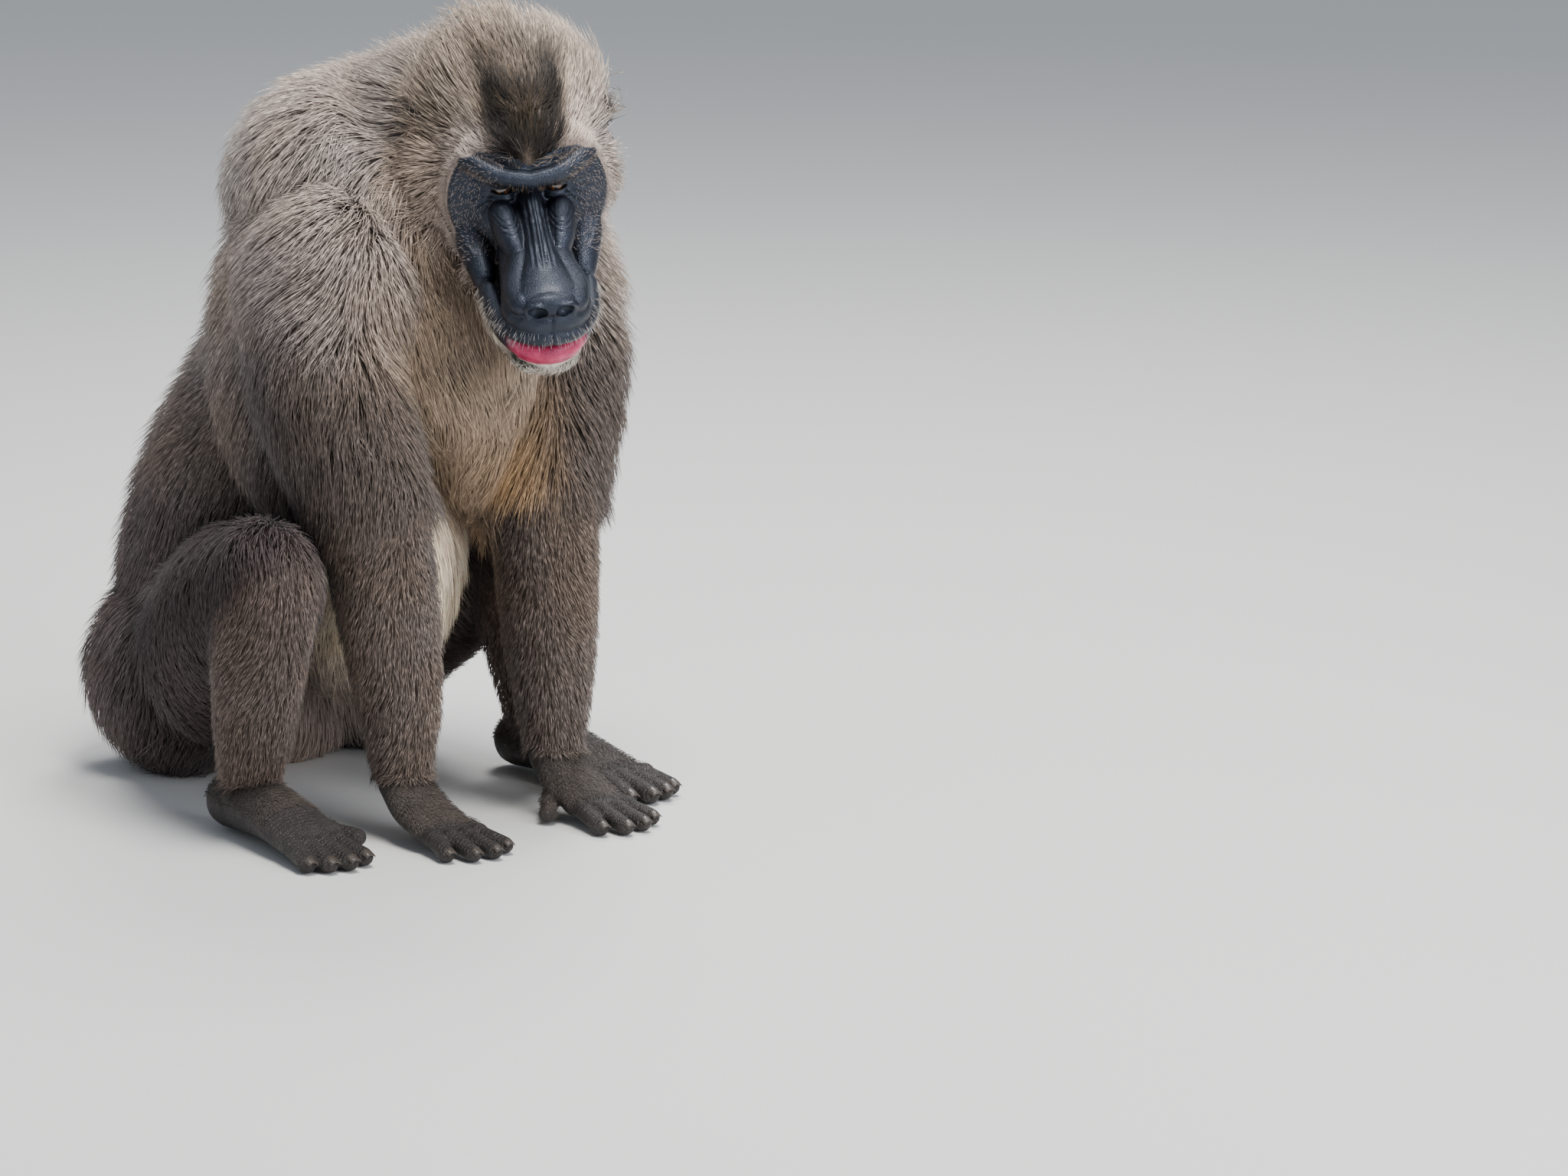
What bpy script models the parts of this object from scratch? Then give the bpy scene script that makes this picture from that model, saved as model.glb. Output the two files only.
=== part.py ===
"""A drill monkey, a seated adult male, as a still, life-size model with its coat.

Metres, +Z up. The animal faces -Y and its right side is on -X. It sits with its hands,
feet, rump and tail on the floor at Z = 0. Each sub-part is one closed object, and
neighbours meet face to face with a small clear gap.
"""

import math
import random

import bpy
import bmesh
from mathutils import Matrix, Vector
from mathutils.bvhtree import BVHTree

GAP = 0.0003  # clear space between neighbouring parts

# Trunk, from the rump to the root of the neck: x, y, z, half-width, half-depth
TRUNK = (
    (0.000, 0.155, 0.070, 0.108, 0.088),
    (0.000, 0.142, 0.150, 0.124, 0.108),
    (0.005, 0.098, 0.235, 0.128, 0.114),
    (0.012, 0.030, 0.325, 0.124, 0.116),
    (0.018, -0.020, 0.410, 0.128, 0.116),
    (0.022, -0.055, 0.480, 0.110, 0.100),
)
SHOULDER = ((0.096, -0.075, 0.420), (0.066, 0.074, 0.095))  # place from the trunk, radii
HUMP = ((0.009, -0.016, 0.502), (0.120, 0.106, 0.098))
CHEST = ((0.018, -0.105, 0.385), (0.078, 0.062, 0.092))
BELLY = ((-0.002, 0.008, 0.215), (0.088, 0.108, 0.140))
BIB = (  # the long hair of the chest, down between the arms
    (0.026, -0.112, 0.370, 0.050, 0.040),
    (0.034, -0.112, 0.315, 0.040, 0.034),
    (0.040, -0.108, 0.272, 0.022, 0.022),
)
HAUNCH = ((0.080, 0.140, 0.085), (0.072, 0.095, 0.085))
TRUNK_LEAN = 0.018  # how far the shoulders sway to the animal's left
WAIST = ((0.0, 0.085, 0.262), math.radians(24))  # where the torso meets the hips, and its slope

# Neck, from the withers to the back of the skull
NECK = (
    (0.020, -0.028, 0.512, 0.090, 0.086),
    (0.034, -0.083, 0.553, 0.074, 0.072),
    (0.046, -0.150, 0.556, 0.048, 0.052),
)

# Arms and legs: x is out from the middle of the girdle they hang from
UPPER_ARM = (
    (0.114, -0.080, 0.415, 0.050, 0.056),
    (0.108, -0.105, 0.345, 0.052, 0.056),
    (0.084, -0.135, 0.262, 0.044, 0.048),
)
FOREARM = (
    (0.084, -0.135, 0.262, 0.044, 0.047),
    (0.080, -0.145, 0.200, 0.042, 0.045),
    (0.076, -0.156, 0.120, 0.036, 0.038),
    (0.075, -0.160, 0.058, 0.026, 0.027),
)
ELBOW_HEIGHT = 0.262
SHOULDER_SWAY, ELBOW_SWAY = 0.018, 0.003  # how far each girdle lies to the animal's left
THIGHS = {  # the left knee (1) is drawn up to the belly, the right one (-1) turned out
    1: (
        (0.096, 0.100, 0.112, 0.060, 0.070),
        (0.108, 0.020, 0.165, 0.058, 0.064),
        (0.112, -0.052, 0.205, 0.042, 0.045),
    ),
    -1: (
        (0.090, 0.070, 0.110, 0.068, 0.078),
        (0.138, -0.030, 0.175, 0.060, 0.068),
        (0.174, -0.122, 0.218, 0.043, 0.050),
    ),
}
SHINS = {
    1: (
        (0.114, -0.054, 0.200, 0.039, 0.040),
        (0.126, -0.052, 0.125, 0.035, 0.037),
        (0.140, -0.050, 0.050, 0.026, 0.029),
    ),
    -1: (
        (0.176, -0.128, 0.214, 0.040, 0.044),
        (0.176, -0.108, 0.130, 0.036, 0.041),
        (0.168, -0.084, 0.050, 0.026, 0.030),
    ),
}
FOOT_SHIFT = {1: (-0.026, 0.034), -1: (0.0, 0.0)}  # of the whole foot, outwards and back
TAIL = (
    (0.000, 0.205, 0.060, 0.020, 0.020),
    (0.000, 0.245, 0.045, 0.017, 0.017),
    (0.000, 0.270, 0.030, 0.011, 0.011),
)

# Hands and feet: x is out from the digit row's own middle, toes point to -Y
PALM = (
    (0.075, -0.160, 0.045, 0.022, 0.017),
    (0.075, -0.185, 0.026, 0.027, 0.013),
    (0.075, -0.215, 0.015, 0.028, 0.010),
)
FINGER_SPREAD = (-0.022, -0.008, 0.007, 0.021)
FINGER_LENGTH = (0.046, 0.056, 0.054, 0.042)
FINGER_RADIUS = 0.0078
FINGER_PATH = ((0.8, 0.0, 0.014), (1.0, 0.4, 0.0125), (1.25, 1.0, 0.0075))  # shares of spread and length, height
FINGER_ROOT = 0.008  # how far back from the palm's end a finger starts
THUMB = ((0.056, -0.180, 0.018), (0.038, -0.203, 0.009))
SOLE = (
    (0.168, -0.058, 0.024, 0.021, 0.022),
    (0.170, -0.108, 0.026, 0.026, 0.022),
    (0.173, -0.170, 0.017, 0.032, 0.013),
)
TOE_SPREAD = (-0.014, 0.001, 0.015, 0.027)
TOE_LENGTH = (0.056, 0.062, 0.058, 0.048)
TOE_RADIUS = 0.0085
TOE_PATH = ((0.8, 0.0, 0.016), (1.0, 0.4, 0.0140), (1.2, 1.0, 0.0082))
TOE_ROOT = 0.010
BIG_TOE = ((0.151, -0.132, 0.016), (0.128, -0.176, 0.010))

# Head, in its own frame: the root of the nose is zero, +X its left, -Y forward, +Z up
HEAD_PLACE = Vector((0.010, -0.225, 0.528))
HEAD_PITCH = math.radians(16)
HEAD_ROLL = math.radians(-3)
HEAD_YAW = math.radians(-28)
SKULL = ((0, 0.072, 0.010), (0.062, 0.074, 0.062))
JOWL = ((0, 0.046, -0.036), (0.062, 0.052, 0.054))
DISC = ((0, 0.016, -0.014), (0.066, 0.014, 0.064))
CHEEK = ((0.048, 0.014, -0.040, 0.018, 0.012), (0.040, -0.016, -0.070, 0.010, 0.010))
HAIR_CAP = ((-0.003, 0.080, 0.022), (0.072, 0.064, 0.069))
RUFF = ((-0.007, 0.068, -0.022), (0.088, 0.040, 0.074))
FORELOCK = ((0, 0.040, 0.058), (0.034, 0.034, 0.028))
MUZZLE = (
    (0, 0.010, -0.040, 0.036, 0.032),
    (0, -0.040, -0.056, 0.036, 0.028),
    (0, -0.080, -0.069, 0.036, 0.020),
)
BRIDGE = (
    (0, 0.000, -0.013, 0.010, 0.010),
    (0, -0.045, -0.032, 0.011, 0.009),
    (0, -0.090, -0.053, 0.018, 0.010),
)
NOSE_RIDGE = ((0, 0.000, -0.004, 0.0038, 0.0045), (0, -0.036, -0.020, 0.0038, 0.0045), (0, -0.068, -0.036, 0.003, 0.003))
PARANASAL = (
    (0.026, -0.003, -0.021, 0.0115, 0.0110),
    (0.021, -0.030, -0.030, 0.0100, 0.0115),
    (0.015, -0.060, -0.043, 0.0060, 0.0065),
)
NOSE_PAD = ((0, -0.098, -0.057), (0.0205, 0.0115, 0.0115))
NOSTRIL = ((0.0105, -0.1105, -0.0600), (0.0070, 0.0090, 0.0046))
UPPER_LIP = ((0.040, -0.034, -0.073), (0.036, -0.068, -0.080), (0.022, -0.092, -0.084), (0, -0.100, -0.085))
UPPER_LIP_RADIUS = 0.0075
LOWER_LIP = ((0.037, -0.032, -0.086), (0.031, -0.063, -0.094), (0.018, -0.083, -0.098), (0, -0.089, -0.099))
LOWER_LIP_RADIUS = 0.0064
JAW = (
    (0, 0.030, -0.082, 0.042, 0.020),
    (0, -0.030, -0.097, 0.032, 0.014),
    (0, -0.070, -0.102, 0.023, 0.010),
)
BROW = ((0, -0.008, 0.007), (0.022, -0.005, 0.011), (0.038, 0.003, 0.017), (0.048, 0.012, 0.020))
BROW_RADIUS = 0.0080
EYE = ((0.021, 0.010, -0.004), 0.0100)
LID_BALL = 0.0125
LID_SLIT = (0.0100, 0.0120, 0.0036)
EAR = ((0.072, 0.084, 0.021), (0.016, 0.008, 0.018))
EAR_CUP = ((0.077, 0.078, 0.022), (0.010, 0.006, 0.012))

# Locks: the shares of the length where a lock's rings lie, and of its width there
LOCK_STEPS = (0.0, 0.3, 0.58, 0.82)
LOCK_WIDTHS = (0.70, 1.0, 0.86, 0.52)
LOCK_SHRINKS = (1.0, 0.8, 0.62)  # lengths that are tried in turn where room is short
LOCK_SINK = 0.008  # how far a lock's root is sunk into its core
LOCK_CLEAR = 0.0025  # least room between a lock and another part
SEED = 11
ATTEMPTS = 8  # seeds tried until a union comes out sound
LEAST_EDGE = 1e-6  # corners nearer than this count as one
REACH = 0.30  # from inside a part to well outside it
CROWN = Vector((-0.003, 0.078, 0.012))  # middle of the crown's hair, in the head's frame
PROBE = Vector((0.31, 0.17, 0.94)).normalized()  # direction of the test line for what is inside

# Each tract of long hair: length, width, thickness, and height of the tips over the core
CREST_HAIR = (0.056, 0.034, 0.0070, 0.019)
RUFF_HAIR = (0.050, 0.026, 0.0065, 0.018)
NAPE_HAIR = (0.060, 0.034, 0.0070, 0.016)
BEARD_HAIR = (0.026, 0.015, 0.0055, 0.008)
MANTLE_HAIR = (0.080, 0.046, 0.0085, 0.017)
CHEST_HAIR = (0.070, 0.034, 0.0080, 0.016)
SLEEVE_HAIR = (0.064, 0.036, 0.0080, 0.013)
RUMP_HAIR = (0.070, 0.044, 0.0080, 0.013)

# Where the locks of each tract root: rows of angles, depths or heights, and turns in degrees
CREST_ROWS, CREST_TURNS = (28, 52, 76, 100, 124), (-64, -32, 0, 32)
RUFF_DEPTHS, RUFF_TURNS = (0.036, 0.062, 0.086), range(48, 150, 20)
RUFF_HEIGHT = -0.015
BEARD_TURNS = range(-75, 76, 15)
BEARD_MIDDLE = Vector((0, -0.048, -0.085))
NAPE_TURNS = range(-88, 89, 22)
WITHERS_HEIGHTS, WITHERS_TURNS, WITHERS_TILT = (0.46,), range(96, 265, 28), 0.8
BACK_HEIGHTS, BACK_TURNS = (0.50, 0.455, 0.405, 0.355, 0.305), range(84, 276, 24)
CHEST_HEIGHTS, CHEST_TURNS = (0.43, 0.375, 0.325), range(-40, 41, 20)
RUMP_HEIGHTS, RUMP_TURNS = (0.20, 0.14), range(100, 261, 32)
SHOULDER_RISES, SHOULDER_TURNS, SHOULDER_TILT = (0.035, 0.0, -0.035), (10, 45, 80), 8
SLEEVE_HEIGHTS, SLEEVE_TURNS = (0.345, 0.312), range(-40, 200, 34)

# How the hair hangs from the trunk: its shares outwards and back, for each share down
MANTLE_LIE, CHEST_LIE, RUMP_LIE = (0.25, 0.30), (-0.35, -0.15), (0.35, 0.10)
SHOULDER_LIE = (0.15, -0.05)
SLEEVE_LIE = Vector((0, -0.2, -1.0))

# How far the locks of each tract follow what they lie over: 1 all the way, 0 not at all
CREST_HUG, RUFF_HUG, BEARD_HUG, NAPE_HUG = 0.55, 0.6, 0.0, 1.0
MANTLE_HUG, SHOULDER_HUG, CHEST_HUG, RUMP_HUG, SLEEVE_HUG = 0.85, 0.9, 0.7, 0.85, 0.8

# How each kind of part is made: voxel size, rounds of smoothing, triangles left
MAKING = {
    "torso": (0.0060, 10, 1000),
    "neck": (0.0050, 4, 260),
    "head": (0.0018, 3, 2500),
    "ear": (0.0020, 2, 200),
    "upper_arm": (0.0050, 3, 220),
    "forearm": (0.0040, 3, 200),
    "hand": (0.0022, 2, 360),
    "thigh": (0.0050, 3, 230),
    "lower_leg": (0.0040, 3, 190),
    "foot": (0.0024, 2, 380),
    "tail": (0.0030, 2, 140),
}

# Finish of each surface: colour, roughness
COAT = ((0.235, 0.195, 0.160), 0.9)
SKIN = ((0.030, 0.033, 0.038), 0.45)
DIGIT = ((0.045, 0.040, 0.038), 0.6)
EYE_FINISH = ((0.120, 0.050, 0.020), 0.1)


def clear_scene():
    for obj in list(bpy.data.objects):
        bpy.data.objects.remove(obj, do_unlink=True)


def material(name, finish):
    made = bpy.data.materials.get(name)
    if made is None:
        made = bpy.data.materials.new(name)
        made.use_nodes = True
        shader = made.node_tree.nodes["Principled BSDF"]
        shader.inputs["Base Color"].default_value = (*finish[0], 1)
        shader.inputs["Roughness"].default_value = finish[1]
        shader.inputs["Metallic"].default_value = 0
    return made


def mirrored(rows, side):
    """The same places or stations on the left (1) or right (-1) side."""
    return tuple((row[0] * side, *row[1:]) for row in rows)


def smooth_rows(rows, steps):
    """Rows read from a smooth curve through the given rows, steps to each stretch."""
    padded = [[2 * a - b for a, b in zip(rows[0], rows[1])], *rows]
    padded.append([2 * a - b for a, b in zip(rows[-1], rows[-2])])
    found = []
    for i in range(1, len(padded) - 2):
        for k in range(steps):
            t = k / steps
            found.append([
                0.5 * (2 * b + (c - a) * t + (2 * a - 5 * b + 4 * c - d) * t * t + (3 * b - a - 3 * c + d) * t ** 3)
                for a, b, c, d in zip(padded[i - 1], padded[i], padded[i + 1], padded[i + 2])
            ])
    found.append(list(rows[-1]))
    return found


def add_limb(bm, rows, sides=16, steps=4, across=Vector((1, 0, 0)), place=Matrix()):
    """Adds a closed tube with round ends along rows of x, y, z, half-width, half-depth."""
    rows = smooth_rows(rows, steps)
    centres = [Vector(row[:3]) for row in rows]
    sizes = [(row[3], row[4]) for row in rows]
    tangents = [
        (centres[min(i + 1, len(centres) - 1)] - centres[max(i - 1, 0)]).normalized()
        for i in range(len(centres))
    ]
    rings = []
    for end, sign in ((0, -1), (-1, 1)):
        reach = 0.5 * (sizes[end][0] + sizes[end][1])
        cap = []
        for k in (1, 2, 3):
            turn = k * math.pi / 8
            centre = centres[end] + tangents[end] * sign * reach * math.sin(turn)
            cap.append((centre, tangents[end], [s * math.cos(turn) for s in sizes[end]]))
        rings.append((cap, centres[end] + tangents[end] * sign * reach))
    body = list(zip(centres, tangents, sizes))
    stations = rings[0][0][::-1] + body + rings[1][0]
    loops = []
    for centre, tangent, (wide, deep) in stations:
        side = (across - tangent * across.dot(tangent)).normalized()
        front = tangent.cross(side)
        loop = []
        for k in range(sides):
            angle = 2 * math.pi * k / sides
            point = centre + side * wide * math.cos(angle) + front * deep * math.sin(angle)
            loop.append(bm.verts.new(place @ point))
        loops.append(loop)
    for low, high in zip(loops, loops[1:]):
        for k in range(sides):
            bm.faces.new((low[k], low[(k + 1) % sides], high[(k + 1) % sides], high[k]))
    first = bm.verts.new(place @ rings[0][1])
    last = bm.verts.new(place @ rings[1][1])
    for k in range(sides):
        bm.faces.new((first, loops[0][(k + 1) % sides], loops[0][k]))
        bm.faces.new((last, loops[-1][k], loops[-1][(k + 1) % sides]))


def add_cord(bm, points, radius, sides=10, steps=4, place=Matrix()):
    """Adds a round limb of one radius through the points."""
    add_limb(bm, [(*p, radius, radius) for p in points], sides, steps, Vector((0, 0, 1)), place)


def add_ball(bm, form, side=1, tilt=0, place=Matrix(), sides=28):
    """Adds an ellipsoid of form (centre, radii), turned by tilt about its own X."""
    (x, y, z), radii = form
    shape = Matrix.Diagonal((*radii, 1))
    turn = Matrix.Translation((x * side, y, z)) @ Matrix.Rotation(tilt, 4, "X")
    bmesh.ops.create_uvsphere(bm, u_segments=sides, v_segments=sides * 2 // 3, radius=1, matrix=place @ turn @ shape)


def as_object(name, bm, finish_name, finish):
    bmesh.ops.recalc_face_normals(bm, faces=bm.faces)
    mesh = bpy.data.meshes.new(name)
    bm.to_mesh(mesh)
    bm.free()
    mesh.materials.append(material(finish_name, finish))
    obj = bpy.data.objects.new(name, mesh)
    bpy.context.scene.collection.objects.link(obj)
    return obj


def apply_modifiers(obj):
    graph = bpy.context.evaluated_depsgraph_get()
    mesh = bpy.data.meshes.new_from_object(obj.evaluated_get(graph))
    old = obj.data
    obj.modifiers.clear()
    obj.data = mesh
    bpy.data.meshes.remove(old)
    mesh.name = obj.name


def fused(name, bm, kind, finish_name="coat", finish=COAT):
    """One smooth closed object from the overlapping closed shapes in bm."""
    voxel, smoothing, triangles = MAKING[kind]
    obj = as_object(name, bm, finish_name, finish)
    remesh = obj.modifiers.new("Fuse", "REMESH")
    remesh.mode = "VOXEL"
    remesh.voxel_size = voxel
    smooth = obj.modifiers.new("Soften", "SMOOTH")
    smooth.factor = 0.5
    smooth.iterations = smoothing
    apply_modifiers(obj)
    thin = obj.modifiers.new("Thin", "DECIMATE")
    thin.ratio = min(1.0, triangles / (2 * len(obj.data.polygons)))
    thin.use_collapse_triangulate = True
    apply_modifiers(obj)
    keep_largest(obj)
    whole = obj.data.copy()
    whole.name = name + "_whole"
    whole.use_fake_user = True
    return obj


def keep_largest(obj):
    """Leaves only the largest closed surface of the object."""
    bm = bmesh.new()
    bm.from_mesh(obj.data)
    bmesh.ops.remove_doubles(bm, verts=bm.verts, dist=LEAST_EDGE)
    seen = set()
    groups = []
    for start in bm.faces:
        if start in seen:
            continue
        group = {start}
        edge = [start]
        while edge:
            for link in edge.pop().edges:
                for face in link.link_faces if len(link.link_faces) == 2 else ():
                    if face not in group:
                        group.add(face)
                        edge.append(face)
        seen |= group
        groups.append(group)
    largest = max(groups, key=lambda group: box_size({v for face in group for v in face.verts}))
    bmesh.ops.delete(bm, geom=[face for face in bm.faces if face not in largest], context="FACES")
    bm.to_mesh(obj.data)
    bm.free()


def box_size(verts):
    """The diagonal of the box round some vertices."""
    low = Vector([min(v.co[k] for v in verts) for k in range(3)])
    high = Vector([max(v.co[k] for v in verts) for k in range(3)])
    return (high - low).length


def swollen(obj, gap=GAP):
    """A cutter: the surface that the object had before any cut, moved out by the gap."""
    mesh = bpy.data.meshes[obj.name + "_whole"].copy()
    moved = [vert.co + vert.normal * gap for vert in mesh.vertices]
    for vert, place in zip(mesh.vertices, moved):
        vert.co = place
    cutter = bpy.data.objects.new(obj.name + "_cutter", mesh)
    bpy.context.scene.collection.objects.link(cutter)
    cutter.hide_render = True
    cutter.display_type = "WIRE"
    return cutter


def cut(obj, cutter):
    """Takes the cutter out of the object, and removes the cutter."""
    boolean = obj.modifiers.new("Cut", "BOOLEAN")
    boolean.operation = "DIFFERENCE"
    boolean.solver = "EXACT"
    boolean.object = cutter
    apply_modifiers(obj)
    bpy.data.objects.remove(cutter, do_unlink=True)
    keep_largest(obj)


def part(obj, *neighbours):
    """Cuts the object where its neighbours meet it, leaving the gap."""
    for neighbour in neighbours:
        cut(obj, swollen(neighbour))


def rest_on_floor(obj):
    """Cuts off what is below the floor, which leaves a flat at its level."""
    bm = bmesh.new()
    slab = Matrix.Translation((0, 0, -0.5)) @ Matrix.Diagonal((2, 2, 1, 1))
    bmesh.ops.create_cube(bm, size=1, matrix=slab)
    cut(obj, as_object("floor_cutter", bm, "coat", COAT))


def surface_of(*objects):
    """The objects' present surfaces, for finding places on them and distances to them."""
    points, triangles = [], []
    for obj in objects:
        mesh = obj.data
        mesh.calc_loop_triangles()
        first = len(points)
        points += [vert.co.copy() for vert in mesh.vertices]
        triangles += [[first + k for k in triangle.vertices] for triangle in mesh.loop_triangles]
    return BVHTree.FromPolygons(points, triangles)


def lock_loops(cover, root, normal, lie, hair, hug):
    """Corners of a lock's rings, three to a ring, and its tip: flat beneath, ridged on top."""
    length, width, thick, rise = hair
    centres = []
    near, up, last = root, normal, 0.0
    for step in (*LOCK_STEPS, 1.0):
        flow = (lie - up * lie.dot(up)).normalized()
        near, up, _, _ = cover.find_nearest(near + flow * length * (step - last))
        last = step
        height = rise * math.sin(step * math.pi / 2) - LOCK_SINK * (1 - step) ** 4
        free = root + lie * length * step + normal * height
        centres.append((near + up * height).lerp(free, 1 - hug))
    loops = []
    for i, share in enumerate(LOCK_WIDTHS):
        along = (centres[i + 1] - centres[max(i - 1, 0)]).normalized()
        across = along.cross(normal).normalized()
        up = across.cross(along)
        side = across * width * share / 2
        deep = thick * (1 + share) / 2
        corners = (-side - up * deep / 3, side - up * deep / 3, up * deep * 2 / 3)
        loops.append([centres[i] + corner for corner in corners])
    return loops, centres[-1]


def is_inside(surface, place):
    """Whether a place is inside a closed surface: a line from it leaves through the surface."""
    crossings = 0
    start = place
    while crossings < 40:
        hit = surface.ray_cast(start, PROBE)[0]
        if hit is None:
            break
        crossings += 1
        start = hit + PROBE * 1e-5
    return crossings % 2 == 1


def lock_shape(loops, tip):
    """Points and triangles of a closed lock."""
    points = [corner for loop in loops for corner in loop] + [tip]
    last = len(points) - 1
    faces = [(2, 1, 0)]
    for low in range(0, last - 3, 3):
        for k in range(3):
            a, b = low + k, low + (k + 1) % 3
            faces += [(a, b, b + 3), (a, b + 3, a + 3)]
    faces += [(last - 3 + k, last - 3 + (k + 1) % 3, last) for k in range(3)]
    return points, faces


def lock_is_clear(points, faces, others):
    """Whether a lock keeps its distance to the other parts' surfaces."""
    tree = BVHTree.FromPolygons(points, faces)
    places = points + [(points[a] + points[b]) / 2 for a, b, _ in faces]
    for other in others:
        if tree.overlap(other):
            return False
        for place in places:
            if other.find_nearest(place)[3] < LOCK_CLEAR or is_inside(other, place):
                return False
    return True


def add_lock(points, faces, collection):
    """One closed lock in the collection."""
    bm = bmesh.new()
    verts = [bm.verts.new(point) for point in points]
    for face in faces:
        bm.faces.new([verts[k] for k in face])
    lock = as_object("lock", bm, "coat", COAT)
    bpy.context.scene.collection.objects.unlink(lock)
    collection.objects.link(lock)


def is_sound(obj):
    """Whether each edge joins two faces and no two corners share a place."""
    bm = bmesh.new()
    bm.from_mesh(obj.data)
    doubles = bmesh.ops.find_doubles(bm, verts=bm.verts, dist=LEAST_EDGE)["targetmap"]
    sound = not doubles and all(len(edge.link_faces) == 2 for edge in bm.edges)
    bm.free()
    return sound


def grow(obj, tracts, others, cover):
    """Roots locks in the object's surface and joins them to it.

    A tract is (places, hair, hug): places gives (origin, direction, lie) for each lock,
    which roots where a line from the origin leaves the surface; hug is how far it follows
    the cover, which is the surface that the locks lie over, past the object's own edge.
    """
    tracts = [(list(places), hair, hug) for places, hair, hug in tracts]
    bare = obj.data.copy()
    for attempt in range(ATTEMPTS):
        obj.data = bare.copy()
        join_locks(obj, make_locks(obj, tracts, others, cover, random.Random(SEED + attempt)))
        if is_sound(obj):
            break


def make_locks(obj, tracts, others, cover, draw):
    """The locks of some tracts, each an object of one collection."""
    core = surface_of(obj)
    collection = bpy.data.collections.new(obj.name + "_locks")
    bpy.context.scene.collection.children.link(collection)
    for places, hair, hug in tracts:
        for origin, direction, lie in places:
            direction = direction.normalized()
            root, normal, _, _ = core.ray_cast(origin + direction * REACH, -direction)
            spread = [draw.uniform(-1, 1) for _ in range(4)]
            if root is None:
                continue
            lie = lie - normal * lie.dot(normal) * hug
            lie = (lie.normalized() + normal.cross(lie).normalized() * 0.12 * spread[0]).normalized()
            for shrink in LOCK_SHRINKS:
                size = (
                    hair[0] * shrink * (1 + 0.14 * spread[1]), hair[1] * (1 + 0.1 * spread[2]),
                    hair[2], hair[3] * (1 + 0.15 * spread[3]),
                )
                points, faces = lock_shape(*lock_loops(cover, root, normal, lie, size, hug))
                if lock_is_clear(points, faces, others):
                    add_lock(points, faces, collection)
                    break
    return collection


def join_locks(obj, collection):
    """One union of the object with the collection's locks, which are then removed."""
    union = obj.modifiers.new("Locks", "BOOLEAN")
    union.operation = "UNION"
    union.solver = "EXACT"
    union.operand_type = "COLLECTION"
    union.collection = collection
    apply_modifiers(obj)
    for lock in list(collection.objects):
        bpy.data.objects.remove(lock, do_unlink=True)
    bpy.data.collections.remove(collection)
    keep_largest(obj)


def grid(firsts, seconds):
    """Pairs of a first and a second value, every other row set half a step along."""
    step = seconds[1] - seconds[0]
    for i, first in enumerate(firsts):
        for second in seconds:
            yield first, second + (step / 2 if i % 2 else 0)


def crest_places():
    """From the forehead over the crown: fore-and-aft angle, then sideways angle."""
    for along, aside in grid(CREST_ROWS, CREST_TURNS):
        e, b = math.radians(along), math.radians(aside)
        out = Vector((math.sin(b), -math.cos(e) * math.cos(b), math.sin(e) * math.cos(b)))
        lie = Vector((math.sin(b) * 0.35, 0.8 - 0.5 * math.cos(e), 1.0 - 0.5 * abs(math.sin(b))))
        yield CROWN, out, lie


def ruff_places():
    """Round the sides of the face, in three tiers from the face back."""
    for side in (1, -1):
        for depth, turn in grid(RUFF_DEPTHS, RUFF_TURNS):
            angle = math.radians(turn)
            out = Vector((math.sin(angle) * side, 0, math.cos(angle)))
            lie = Vector((out.x * 0.35, 0.8, out.z * 0.4 - 0.45))
            yield Vector((0, depth, RUFF_HEIGHT)), out, lie


def beard_places():
    """Along the jaw, from corner to corner, under the lower lip."""
    for turn in BEARD_TURNS:
        angle = math.radians(turn)
        out = Vector((math.sin(angle) * 0.8, -math.cos(angle) * 0.75, -0.75))
        lie = Vector((math.sin(angle) * 0.5, -math.cos(angle) * 0.35, -1.0))
        yield BEARD_MIDDLE, out, lie


def in_head(places):
    """The places, moved from the head's frame to the model's."""
    place = head_matrix()
    turn = place.to_3x3()
    for origin, direction, lie in places:
        yield place @ origin, turn @ direction, turn @ lie


def trunk_axis(height):
    """The middle of the trunk at a height."""
    rows = TRUNK
    for low, high in zip(rows, rows[1:]):
        if height <= high[2] or high is rows[-1]:
            share = (height - low[2]) / (high[2] - low[2])
            return Vector(low[:3]).lerp(Vector(high[:3]), share)


def trunk_places(heights, turns, shares, tilt=0.0):
    """Round the trunk: heights, and turns from the front (0) to the left (90) and back (180)."""
    for height, turn in grid(heights, turns):
        angle = math.radians(turn)
        out = Vector((math.sin(angle), -math.cos(angle), tilt))
        yield trunk_axis(height), out, Vector((shares[0] * math.sin(angle), shares[1], -1.0))


def shoulder_places():
    """Over the shoulders, down to the arms."""
    (x, y, z), _ = SHOULDER
    for side in (1, -1):
        lie = Vector((SHOULDER_LIE[0] * side, SHOULDER_LIE[1], -1.0))
        for rise, turn in grid(SHOULDER_RISES, SHOULDER_TURNS):
            angle = math.radians(turn)
            middle = Vector(((x + TRUNK_LEAN * side) * side, y, z + rise))
            yield middle, Vector((math.sin(angle) * side, -math.cos(angle), rise * SHOULDER_TILT)), lie


def arm_places(rows, side):
    """Round the upper arm above the elbow, over which the hair hangs."""
    low, high = rows[-1], rows[0]
    for height, turn in grid(SLEEVE_HEIGHTS, SLEEVE_TURNS):
        share = (height - low[2]) / (high[2] - low[2])
        middle = Vector(low[:3]).lerp(Vector(high[:3]), share)
        angle = math.radians(turn)
        yield middle, Vector((math.sin(angle) * side, -math.cos(angle), 0)), SLEEVE_LIE


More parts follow.
